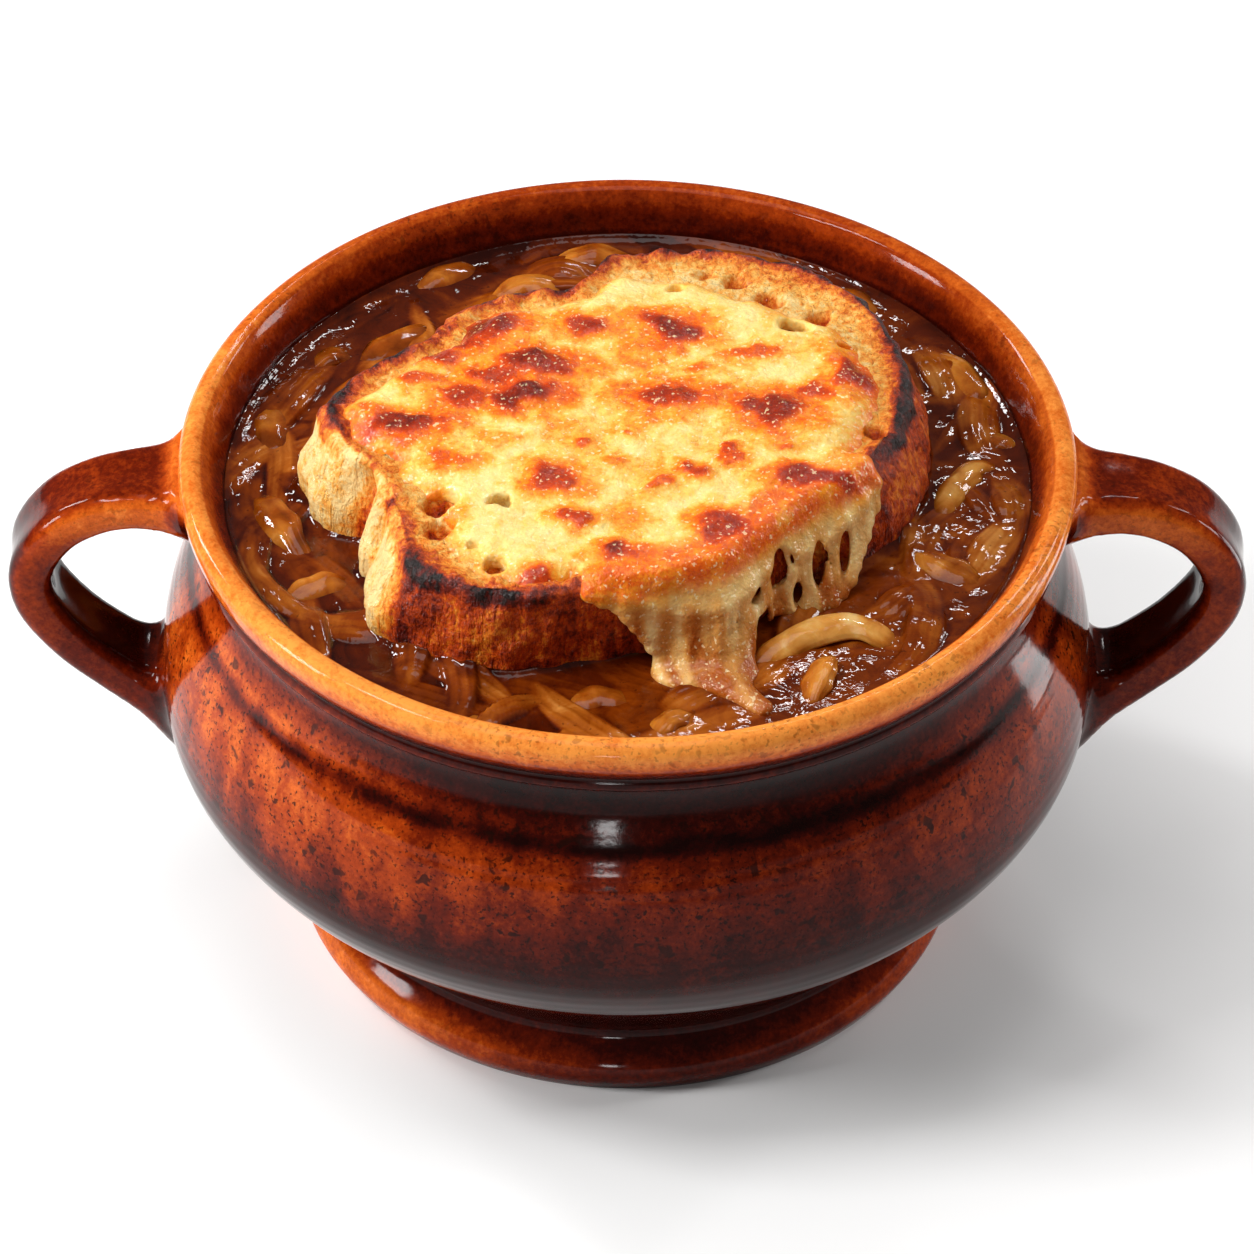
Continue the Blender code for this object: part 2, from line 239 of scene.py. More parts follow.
class Shader:
    """Short ways to build a node material."""

    def __init__(self, name, **settings):
        self.material = bpy.data.materials.new(name)
        self.material.use_nodes = True
        self.nodes = self.material.node_tree.nodes
        self.links = self.material.node_tree.links
        self.surface = self.nodes["Principled BSDF"]
        self.place = self.nodes.new("ShaderNodeTexCoord").outputs["Object"]
        for key, value in settings.items():
            self.surface.inputs[key.replace("_", " ")].default_value = value

    def put(self, value, socket):
        if isinstance(value, bpy.types.NodeSocket):
            self.links.new(value, socket)
        else:
            socket.default_value = value

    def attribute(self, name):
        node = self.nodes.new("ShaderNodeAttribute")
        node.attribute_name = name
        return node.outputs["Fac"]

    def noise(self, size, detail=3.0, roughness=0.55, distortion=0.0, stretch=None):
        """Noise from 0 to 1 with features of a size in millimetres."""
        node = self.nodes.new("ShaderNodeTexNoise")
        place = self.place
        if stretch:
            mapping = self.nodes.new("ShaderNodeMapping")
            mapping.inputs["Scale"].default_value = stretch
            self.links.new(place, mapping.inputs["Vector"])
            place = mapping.outputs["Vector"]
        self.links.new(place, node.inputs["Vector"])
        node.inputs["Scale"].default_value = 1 / (size * MM)
        node.inputs["Detail"].default_value = detail
        node.inputs["Roughness"].default_value = roughness
        node.inputs["Distortion"].default_value = distortion
        return node.outputs["Fac"]

    def cells(self, size):
        """Distance from the middle of the nearest cell."""
        node = self.nodes.new("ShaderNodeTexVoronoi")
        self.links.new(self.place, node.inputs["Vector"])
        node.inputs["Scale"].default_value = 1 / (size * MM)
        return node.outputs["Distance"]

    def math(self, operation, first, second=0.0, clamp=False):
        node = self.nodes.new("ShaderNodeMath")
        node.operation = operation
        node.use_clamp = clamp
        self.put(first, node.inputs[0])
        self.put(second, node.inputs[1])
        return node.outputs[0]

    def between(self, value, low, high, start=0.0, end=1.0):
        node = self.nodes.new("ShaderNodeMapRange")
        self.put(value, node.inputs["Value"])
        for key, number in (("From Min", low), ("From Max", high), ("To Min", start), ("To Max", end)):
            node.inputs[key].default_value = number
        return node.outputs["Result"]

    def vary(self, value, layer, low, high, start, end, clamp=False):
        """The value with a layer added, whose range from low to high counts as start to end."""
        return self.math("ADD", value, self.between(layer, low, high, start, end), clamp)

    def ramp(self, factor, *stops):
        node = self.nodes.new("ShaderNodeValToRGB")
        elements = node.color_ramp.elements
        while len(elements) < len(stops):
            elements.new(0.5)
        for element, (position, colour) in zip(elements, stops):
            element.position = position
            element.color = (*colour, 1.0)
        self.put(factor, node.inputs["Fac"])
        return node.outputs["Color"]

    def mix(self, factor, first, second):
        node = self.nodes.new("ShaderNodeMix")
        node.data_type = "RGBA"
        self.put(factor, node.inputs["Factor"])
        for value, socket in ((first, node.inputs[6]), (second, node.inputs[7])):
            self.put(value if isinstance(value, bpy.types.NodeSocket) else (*value, 1.0), socket)
        return node.outputs[2]

    def colour(self, value):
        self.put(value, self.surface.inputs["Base Color"])

    def rough(self, value):
        self.put(value, self.surface.inputs["Roughness"])

    def bump(self, *layers):
        """Bump from (height, strength, depth in millimetres) layers, each on top of the last."""
        normal = None
        for height, strength, depth in layers:
            node = self.nodes.new("ShaderNodeBump")
            node.inputs["Strength"].default_value = strength
            node.inputs["Distance"].default_value = depth * MM
            self.links.new(height, node.inputs["Height"])
            if normal:
                self.links.new(normal, node.inputs["Normal"])
            normal = node.outputs["Normal"]
        self.links.new(normal, self.surface.inputs["Normal"])
        if self.surface.inputs["Coat Weight"].default_value > 0:
            self.links.new(normal, self.surface.inputs["Coat Normal"])


def stoneware_material():
    shader = Shader("glazed_stoneware", Specular_IOR_Level=0.11)
    # The tone attribute holds the glaze's brightness together with painted light on the lit sides and the
    # rim's front, and painted shade at the rim's back.
    tone = shader.attribute("tone")
    mottle = shader.noise(3.6, 6, 0.6, 0.5)
    fine = shader.noise(0.8, 5, 0.7)
    tone = shader.vary(tone, mottle, 0.25, 0.75, -0.10, 0.10)
    tone = shader.vary(tone, fine, 0.3, 0.7, -0.09, 0.09, clamp=True)
    glaze = shader.ramp(
        tone,
        (0.0, (0.008, 0.0007, 0.0004)), (0.2, (0.034, 0.0020, 0.0006)), (0.4, (0.12, 0.0085, 0.0010)),
        (0.6, (0.32, 0.036, 0.0026)), (0.8, (0.62, 0.120, 0.011)), (1.0, (0.88, 0.30, 0.050)),
    )
    specks = shader.attribute("specks")
    grains = shader.noise(0.6, 2, 0.5)
    spots = shader.noise(1.9, 2, 0.5, 0.4)
    small = shader.math("MULTIPLY", shader.between(grains, 0.585, 0.66), specks)
    large = shader.math("MULTIPLY", shader.between(spots, 0.62, 0.68), specks)
    dark = shader.math("MAXIMUM", small, large, clamp=True)
    glaze = shader.mix(shader.math("MULTIPLY", dark, 0.85), glaze, (0.010, 0.0018, 0.0008))
    shader.colour(glaze)
    shader.rough(shader.between(fine, 0.2, 0.8, 0.06, 0.13))
    shader.bump((shader.noise(5.5, 2), 0.2, 0.2), (shader.noise(0.8, 2), 0.14, 0.05))
    return shader.material


def broth_material():
    shader = Shader("onion_broth", Roughness=0.03, IOR=1.34)
    # The murk attribute holds painted shade too: darker at the crock's wall, round the toast and along the
    # edges of the onion strips.
    murk = shader.attribute("murk")
    cloud = shader.noise(4.5, 5, 0.6, 1.2)
    murk = shader.vary(murk, cloud, 0.3, 0.75, -0.12, 0.14, clamp=True)
    colour = shader.ramp(
        murk,
        (0.0, (0.022, 0.0020, 0.0004)), (0.25, (0.085, 0.0095, 0.0006)),
        (0.5, (0.20, 0.0330, 0.0015)), (0.75, (0.37, 0.095, 0.0080)), (1.0, (0.62, 0.25, 0.050)),
    )
    flecks = shader.between(shader.noise(0.8, 2), 0.66, 0.72)
    shader.colour(shader.mix(shader.math("MULTIPLY", flecks, 0.5), colour, (0.02, 0.003, 0.001)))
    ripples = shader.noise(2.6, 2, 0.5, 0.8)
    shader.bump((ripples, 0.34, 0.35), (shader.noise(0.9, 2, 0.5, 0.4), 0.20, 0.10))
    return shader.material


def onion_material():
    shader = Shader("soft_onion", Roughness=0.06, IOR=1.36,
                    Subsurface_Weight=0.3, Subsurface_Scale=0.003)
    shader.surface.inputs["Subsurface Radius"].default_value = (1.0, 0.45, 0.12)
    pale = shader.attribute("pale")
    cloud = shader.noise(2.8, 4, 0.6, 0.5)
    pale = shader.vary(pale, cloud, 0.3, 0.7, -0.13, 0.13, clamp=True)
    colour = shader.ramp(
        pale,
        (0.0, (0.085, 0.0120, 0.0008)), (0.3, (0.27, 0.055, 0.0030)), (0.6, (0.52, 0.170, 0.018)),
        (0.85, (0.78, 0.36, 0.075)), (1.0, (0.88, 0.54, 0.20)),
    )
    shader.colour(colour)
    veins = shader.attribute("veins")
    shader.bump((veins, 0.5, 0.3), (shader.noise(1.6, 2, 0.5), 0.35, 0.22))
    return shader.material


def toast_material():
    shader = Shader("toasted_bread", IOR=1.4, Specular_IOR_Level=0.3,
                    Coat_Weight=0.3, Coat_Roughness=0.08)
    # The toast attribute holds the toasting together with painted light on the left-facing crust and painted
    # shade on the right side, in two folds and in the crumb holes.
    toast = shader.attribute("toast")
    grain = shader.noise(0.8, 5, 0.7, 0.4)
    coarse = shader.noise(2.4, 4, 0.6, 0.8)
    fibres = shader.noise(1.1, 3, 0.6, 0.6, (1.0, 1.0, 0.25))
    pores = shader.cells(1.5)
    toast = shader.vary(toast, grain, 0.28, 0.72, -0.17, 0.17)
    toast = shader.vary(toast, fibres, 0.3, 0.7, -0.13, 0.13)
    # Painted shade in the crumb's pores: darker at the middle of each small cell.
    toast = shader.vary(toast, pores, 0.0, 0.4, 0.10, -0.05)
    toast = shader.vary(toast, coarse, 0.3, 0.7, -0.11, 0.11, clamp=True)
    colour = shader.ramp(
        toast,
        (0.0, (0.95, 0.68, 0.28)), (0.18, (0.93, 0.46, 0.085)), (0.36, (0.84, 0.23, 0.013)),
        (0.54, (0.56, 0.060, 0.0020)), (0.78, (0.15, 0.008, 0.0012)), (1.0, (0.008, 0.0035, 0.003)),
    )
    shader.colour(colour)
    shader.rough(shader.between(grain, 0.3, 0.7, 0.28, 0.6))
    shader.bump((fibres, 1.0, 0.9), (shader.noise(1.2, 5, 0.7), 0.9, 0.5),
                (shader.noise(0.5, 3, 0.7), 0.9, 0.24))
    return shader.material


def cheese_material():
    shader = Shader("melted_cheese", IOR=1.4, Specular_IOR_Level=0.3,
                    Coat_Weight=0.35, Coat_Roughness=0.05,
                    Subsurface_Weight=0.12, Subsurface_Scale=0.003)
    shader.surface.inputs["Subsurface Radius"].default_value = (1.0, 0.5, 0.15)
    brown = shader.attribute("brown")
    wet_and_shaded = shader.attribute("wet_and_shaded")
    grain = shader.noise(0.7, 4, 0.7, 0.3)
    coarse = shader.noise(3.4, 4, 0.65, 0.9)
    mottled = shader.vary(brown, grain, 0.3, 0.7, -0.07, 0.07)
    mottled = shader.vary(mottled, coarse, 0.3, 0.7, -0.09, 0.09, clamp=True)
    colour = shader.ramp(
        mottled,
        (0.0, (0.93, 0.70, 0.26)), (0.14, (0.92, 0.54, 0.105)), (0.27, (0.90, 0.30, 0.016)),
        (0.40, (0.80, 0.125, 0.003)), (0.54, (0.58, 0.052, 0.002)), (0.70, (0.33, 0.022, 0.002)),
        (0.88, (0.12, 0.007, 0.002)), (1.0, (0.016, 0.005, 0.003)),
    )
    # Below the toast's top the cheese takes a darker, browner colour, partly from soaking in the broth and
    # partly painted shade on the hanging curtain.
    streak = shader.vary(shader.attribute("streak"), coarse, 0.3, 0.7, -0.15, 0.15, clamp=True)
    soaked_and_shaded = shader.ramp(
        streak,
        (0.0, (0.40, 0.090, 0.007)), (0.4, (0.70, 0.33, 0.075)), (1.0, (0.92, 0.70, 0.30)),
    )
    # Painted glints: tiny pale dots mixed into the cheese's colour.
    painted_glints = shader.math("MULTIPLY", shader.between(shader.noise(0.62, 1, 0.5), 0.64, 0.70), 0.55)
    shader.colour(shader.mix(painted_glints, shader.mix(wet_and_shaded, colour, soaked_and_shaded), (1.0, 0.86, 0.50)))
    shader.rough(shader.between(grain, 0.3, 0.7, 0.2, 0.42))
    shader.bump((shader.noise(1.9, 3, 0.6), 0.7, 0.7), (shader.noise(0.7, 2, 0.6), 0.5, 0.2))
    return shader.material


STONEWARE = stoneware_material()
BROTH = broth_material()
ONION = onion_material()
TOAST = toast_material()
CHEESE = cheese_material()

# ---------------------------------------------------------------- crock

CROCK_COLUMNS = 288
WALL_STEP = 0.9  # spacing of the rings down the wall
RIM_RADIUS = 62.5
RIM_ROUNDING = 2.0
OUTSIDE = [  # radius and height, from the foot up to the neck
    (46.1, 0.0), (47.3, 2.6), (46.6, 5.2), (44.1, 9.2), (47.4, 14.0), (53.6, 20.6), (60.6, 28.0),
    (64.6, 34.6), (65.7, 40.5), (65.0, 48.4), (62.9, 55.2), (60.4, 60.6), (58.8, 65.0), (59.0, 68.4),
]
OUTSIDE_LENGTH = 115  # of that line, roughly, for the number of rings
GLAZE_LEVELS = [  # height, and how bright the glaze is there
    (0, 0.18), (2.0, 0.26), (4.6, 0.34), (6.5, 0.20), (12, 0.05), (20, 0.05), (30, 0.08), (38, 0.13),
    (44, 0.24), (50, 0.37), (54.5, 0.42), (57.5, 0.32), (59.0, 0.08), (61, 0.22), (63, 0.14),
    (66, 0.05), (69, 0.10), (70, 0.24), (71, 0.08), (73.0, 0.34), (74.6, 0.72), (76.4, 0.84),
    (78.4, 0.90),
]


def crock_sections():
    """The outer half section up to the rim's inner edge, and the inner wall below it."""
    neck = [(59.6, 68.9), (60.6, 69.3), (60.9, 70.0), (60.5, 70.7), (60.35, 71.1), (60.8, 71.8),
            (61.5, 72.7), (62.0, 73.8), (62.3, 74.8)]
    centre = np.array([RIM_RADIUS, RIM_TOP]) - RIM_ROUNDING
    turns = np.radians(np.arange(-14, 150, 9))
    crown = centre + RIM_ROUNDING * np.stack([np.cos(turns), np.sin(turns)], axis=1)
    lip = [(58.35, 76.8), (57.9, 75.9), (57.45, 75.0), (57.0, 74.2), (56.5, 73.3), (56.2, 72.7),
           (55.9, SOUP_LEVEL), (55.0, 68.0)]
    wall = resample(spline(OUTSIDE, 12), int(OUTSIDE_LENGTH / WALL_STEP))
    inner = [(55.2, 62.0), (58.8, 48.0), (59.0, 40.0), (56.2, 31.0), (50.0, 22.8), (40.0, 14.0),
             (0.5, 9.0)]
    return np.vstack([wall, neck, crown, lip]), np.array(inner)


def crock_tone(points):
    """How bright the glaze is, from near black at 0 to orange at 1, and how densely it is speckled; painted
    light brightens the left and right sides and the front of the rim, and painted shade darkens the back of
    the rim.
    """
    radius = np.hypot(points[:, 0], points[:, 1])
    angle = np.arctan2(points[:, 1], points[:, 0])
    height = points[:, 2]
    inside = radius < outer_radius(height) - 1.5
    level = np.interp(height, *np.array(GLAZE_LEVELS).T)
    around = np.stack([np.cos(angle) * 62, np.sin(angle) * 62, height], axis=1)
    drips = noise(around * [1, 1, 0.16], 3.2, 3) + 0.5 * noise(around * [1, 1, 0.3], 1.3, 4)
    broad = fractal(around, 26, 2, 5)
    upper = smoothstep(34, 46, height) * smoothstep(66, 57, height)
    # left and right mark the lit sides, for the painted light below.
    left = smoothstep(0.1, 0.9, -np.cos(angle) - 0.1 * np.sin(angle))
    neck = smoothstep(58, 61, height) * smoothstep(72, 69, height)
    right = smoothstep(0.3, 1.0, np.cos(angle))
    foot = smoothstep(9.0, 5.0, height)
    # Painted light: the neck, the upper belly, the foot and the right of the belly are brighter on the lit
    # sides.
    level = level + neck * (0.30 * left**2 + 0.22 * right) + 0.45 * foot * (left + 0.6 * right)
    level = level + upper * (0.24 * left + 0.12 * drips * (0.5 + left)) + 0.06 * broad
    level = level + 0.10 * right * smoothstep(30, 44, height) * smoothstep(66, 57, height)
    # Painted shade darkens the back of the rim, and painted light brightens its front.
    back = smoothstep(0.2, 1.0, np.sin(angle)) * smoothstep(70, 76, height)
    front = smoothstep(0.4, 1.0, -np.sin(angle)) * smoothstep(72, 76, height)
    level = level - 0.28 * back + 0.09 * front
    edge = 59.0 + 1.3 * noise(around, 7, 11) + 0.6 * noise(around, 2.2, 12)
    band = np.exp(-((height - edge) / 0.9) ** 2) * (0.65 + 0.5 * noise(around, 3.0, 13))
    level = level - 0.20 * band
    slope = smoothstep(RIM_TOP - 1.0, RIM_TOP - 4.6, height)
    # Inside the rim the slope is lighter near the top, with painted shade at the back.
    level = np.where(inside, 0.74 - 0.36 * slope + 0.06 * broad - 0.2 * back, level)
    level = np.where(inside & (height < RIM_TOP - 5.4), 0.16, level)
    specks = 0.2 + 0.7 * smoothstep(16, 48, height) * smoothstep(71, 62, height) + 0.8 * band
    specks = np.where(height > 72, 0.30, specks) + 0.3 * noise(around, 9, 8)
    return np.clip(level, 0.0, 1.0), np.clip(specks, 0.0, 1.0)


def crock_bowl():
    outer, inner = crock_sections()
    section = np.vstack([[(0.5, 2.5), (37.0, 2.5), (37.6, 1.9), (38.0, 0.0)], outer, inner])
    angles = np.linspace(0, math.tau, CROCK_COLUMNS, endpoint=False)
    radius, height = section.T[:, :, None] * np.ones_like(angles)
    points = np.stack([radius * np.cos(angles), radius * np.sin(angles), height], axis=-1)
    points = points.reshape(-1, 3)
    flat = height.ravel()
    # Hand-thrown unevenness: shallow throwing rings on the belly and a slow wobble.
    rings = 0.02 * np.sin(flat * math.tau / 2.3 + 2.0 * noise(points, 40, 2)) * smoothstep(12, 30, flat)
    rings *= smoothstep(68, 55, flat)
    out = rings + 0.14 * noise(points, 30, 1) * smoothstep(4, 20, flat)
    radial = points[:, :2] / np.maximum(np.hypot(points[:, 0], points[:, 1]), 1e-6)[:, None]
    points[:, :2] += radial * out[:, None]
    faces = grid_faces(len(section), CROCK_COLUMNS)
    return points, faces


def outer_radius(height):
    curve = spline(OUTSIDE, 12)
    curve = np.vstack([curve, [(60.9, 70.0), (62.4, 75.0), (62.2, 77.2), (60.4, RIM_TOP)]])
    return np.interp(height, curve[:, 1], curve[:, 0])


STRAP_ROUTE = [  # distance from the axis, and height
    (56.4, 70.4), (62.0, 71.1), (68.0, 71.2), (74.0, 69.8), (79.6, 66.2), (HANDLE_REACH - 3.3, 60.0),
    (82.8, 53.4), (78.2, 46.4), (72.2, 40.8), (66.4, 36.4), (62.4, 33.0), (58.6, 30.2),
]
STRAP_CURVE = resample(spline(STRAP_ROUTE, 10), 110)
STRAP_HALF_WIDTH = 6.1
STRAP_HALF_THICKNESS = 3.15
ROOT_WIDENING = 3.0
STRAP_CORNER = 2.3
HANDLE_GRID = 0.7


def strap_frame(x, z):
    """Distance from a strap's centre line in the plane of its bend, and how far along it that is."""
    gap = np.hypot(x[:, None] - STRAP_CURVE[:, 0], z[:, None] - STRAP_CURVE[:, 1])
    nearest = gap.argmin(axis=1)
    return gap[np.arange(len(x)), nearest], nearest / (len(STRAP_CURVE) - 1)


def strap_flare(along):
    """How much the strap widens: 1 at either root, 0 between them."""
    return np.exp(-((along / 0.12) ** 2)) + np.exp(-(((1 - along) / 0.14) ** 2))


def strap_field(points):
    """Signed distance to the right-hand strap, blended into the belly and the neck."""
    x, y, z = points.T
    offset, along = strap_frame(x, z)
    flare = strap_flare(along)
    half_thickness = STRAP_HALF_THICKNESS - 0.25 * np.exp(-((y / 3.0) ** 2)) * (1 - flare)
    across = np.abs(y) - (STRAP_HALF_WIDTH + ROOT_WIDENING * flare) + STRAP_CORNER
    through = offset - half_thickness + STRAP_CORNER
    strap = np.hypot(np.maximum(across, 0), np.maximum(through, 0)) - STRAP_CORNER
    strap += np.minimum(np.maximum(across, through), 0)
    wall = (np.hypot(x, y) - outer_radius(z)) * 0.9 + 0.3
    return smooth_min(strap, wall, 5.0)


def handle_mesh():
    low = np.array([54.0, -15.5, 22.0])
    high = np.array([88.0, 15.5, 77.0])

    def field(points):
        value = strap_field(points)
        middle = (low + high) / 2
        reach = (high - low) / 2 - 1.5
        return np.maximum(value, (np.abs(points - middle) - reach).max(axis=1))

    points, faces = surface_net(sampled(field, low, high, HANDLE_GRID), low, HANDLE_GRID)
    near = np.abs(strap_field(points)) < 0.5
    points[near] = settle(points[near], strap_field)
    # Only what stands out of the wall, or lies just behind its skin, is kept.
    buried = (np.hypot(points[:, 0], points[:, 1]) - outer_radius(points[:, 2])) < -1.2
    faces = faces[~buried[faces].any(axis=1)]
    used, faces = np.unique(faces, return_inverse=True)
    return points[used], faces.reshape(-1, 4)


def strap_tone(right, side):
    """How bright the glaze is on a strap, turning into the wall's tone, with its painted light and shade,
    where the two join.
    """
    x, y, z = right.T
    along = strap_frame(x, z)[1]
    edge = smoothstep(0.62, 1.0, np.abs(y) / (STRAP_HALF_WIDTH + ROOT_WIDENING * strap_flare(along)))
    tone = 0.12 + 0.34 * edge**2 + 0.10 * fractal(right, 9, 2, 21) + 0.28 * smoothstep(62, 72, z)
    tone -= 0.12 * smoothstep(0.7, 1.0, along)
    wall_tone, wall_specks = crock_tone(right * [side, 1, 1])
    blend = smoothstep(0.4, 4.2, np.hypot(x, y) - outer_radius(z))
    return tone * blend + wall_tone * (1 - blend), 0.35 * blend + wall_specks * (1 - blend)


def make_crock():
    bowl, bowl_faces = crock_bowl()
    right, right_faces = handle_mesh()
    left = right * [-1, 1, 1]
    looks = [crock_tone(bowl), strap_tone(right, 1), strap_tone(right, -1)]
    points, faces = joined([(bowl, bowl_faces), (right, right_faces), (left, right_faces[:, ::-1])])
    # The tone includes crock_tone's painted light and painted shade.
    attributes = {
        "tone": np.concatenate([tone for tone, _ in looks]),
        "specks": np.concatenate([specks for _, specks in looks]),
    }
    make_piece("crock_glazed", points, faces.tolist(), STONEWARE, ("crock",),
               attributes)


# ---------------------------------------------------------------- toast

BREAD_CENTRE = np.array([-2.0, 0.0])
BREAD_COLUMNS = 420
BREAD_CORNERS = [
    (-42.3, 0.8), (-40.6, -5.0), (-38.6, -9.2), (-35.0, -13.0), (-33.6, -16.6), (-32.4, -20.4),
    (-31.2, -25.6), (-29.6, -31.4), (-26.4, -35.6), (-21.0, -38.2), (-14.6, -39.2), (-5.8, -37.2),
    (3.2, -34.8), (12.0, -32.4), (17.3, -27.2), (22.0, -21.4), (29.8, -15.3), (35.4, -8.0),
    (38.2, 1.2), (38.4, 11.0), (35.2, 21.6), (29.4, 28.6), (24.0, 32.6), (18.0, 34.8), (12.0, 36.6),
    (7.6, 36.2), (2.0, 35.2), (-2.4, 34.4), (-6.4, 29.4), (-10.0, 27.4), (-19.4, 25.0),
    (-24.6, 20.8), (-28.8, 15.4), (-36.4, 9.4),
]
OUTLINE = resample(spline(BREAD_CORNERS, 10, closed=True), 1440, closed=True)
OUTLINE_ARM = OUTLINE - BREAD_CENTRE
OUTLINE_ANGLE = np.degrees(np.arctan2(OUTLINE_ARM[:, 1], OUTLINE_ARM[:, 0]))
OUTLINE_ORDER = np.argsort(OUTLINE_ANGLE)
SORTED_ANGLE = OUTLINE_ANGLE[OUTLINE_ORDER]
SORTED_RADIUS = np.hypot(*OUTLINE_ARM.T)[OUTLINE_ORDER]


def outline_radius(degrees):
    return np.interp(degrees, SORTED_ANGLE, SORTED_RADIUS, period=360)


def bump_at(degrees, centre, width):
    turn = (degrees - centre + 180) % 360 - 180
    return np.exp(-((turn / width) ** 2))


def side_offset(degrees, height):
    """How far the crust stands out from the top outline: flared at both ends, with folds."""
    drop = np.clip((BREAD_TOP - height) / 9.0, 0, 1)
    ends = np.abs(np.cos(np.radians(degrees))) ** 2
    flare = 3.6 * ends * drop
    folds = -2.6 * bump_at(degrees, -160, 3.6) + 0.8 * bump_at(degrees, -152, 3.0)
    folds += -1.2 * bump_at(degrees, -147, 1.8) - 0.7 * bump_at(degrees, -122, 3.0)
    torn = 3.6 * bump_at(degrees, -138, 8.5) * drop
    return flare + torn + folds * smoothstep(-0.05, 0.35, drop)


CRUMB_HOLES = [  # x, y, radius, depth
    (-25.6, -20.2, 3.0, 2.6), (-25.4, -25.2, 2.3, 2.0), (15.2, 28.7, 1.9, 1.8), (19.8, 24.9, 2.4, 2.4),
    (26.6, 20.9, 2.0, 2.4), (23.3, 17.6, 2.7, 2.6), (6.6, 25.6, 1.4, 1.3), (34.0, -3.9, 1.9, 1.8),
    (10.6, 30.6, 1.2, 1.3), (30.4, 13.6, 1.4, 1.5),
]
CHEESE_HOLES = [(-17.2, -21.0, 1.9, 2.8), (-17.9, -33.2, 2.1, 2.4), (-21.0, -29.6, 0.9, 0.9)]


def hole_depth(points):
    """How deep the holes in the crumb and the cheese go, and 0 where there are none."""
    flat = points * [1, 1, 0]
    x = flat[:, 0] + 0.6 * noise(flat, 2.2, 35)
    y = flat[:, 1] + 0.6 * noise(flat, 2.2, 36)
    depth = np.zeros(len(points))
    for hole_x, hole_y, size, deep in CRUMB_HOLES + CHEESE_HOLES:
        gap = np.hypot(x - hole_x, (y - hole_y) * 1.2)
        depth = np.maximum(depth, deep * smoothstep(size, size * 0.6, gap))
    return depth


CHAR_SPOTS = [  # degrees round the toast, width in degrees, strength
    (178, 9, 1.35), (160, 12, 0.6), (124, 9, 0.5), (106, 7, 0.9), (92, 10, 0.75), (72, 9, 0.85),
    (56, 7, 0.5), (38, 10, 0.55), (20, 12, 0.62), (4, 9, 0.52), (-8, 9, 0.4), (-22, 8, 0.35),
    (-96, 20, 0.25), (-127, 8, 0.95), (-112, 8, 0.45), (-139, 4, 0.75), (-148, 3, 0.5),
]


def char_amount(points, degrees, edge):
    """How burnt the toast is near its edge; edge is the distance in from the outline."""
    rim = np.exp(-((np.maximum(edge, 0) / 1.6) ** 2))
    wide = np.exp(-((np.maximum(edge, 0) / 3.6) ** 2))
    total = np.zeros(len(points))
    for centre, width, strength in CHAR_SPOTS:
        total = np.maximum(total, strength * bump_at(degrees, centre, width))
    broken = 0.75 + 0.5 * noise(points, 2.6, 31)
    low_down = smoothstep(BREAD_TOP - 3.2, BREAD_TOP - 0.8, points[:, 2] + 0.8 * noise(points, 3.0, 32))
    return np.clip(total * (0.7 * rim + 0.4 * wide) * broken * low_down, 0, 1)


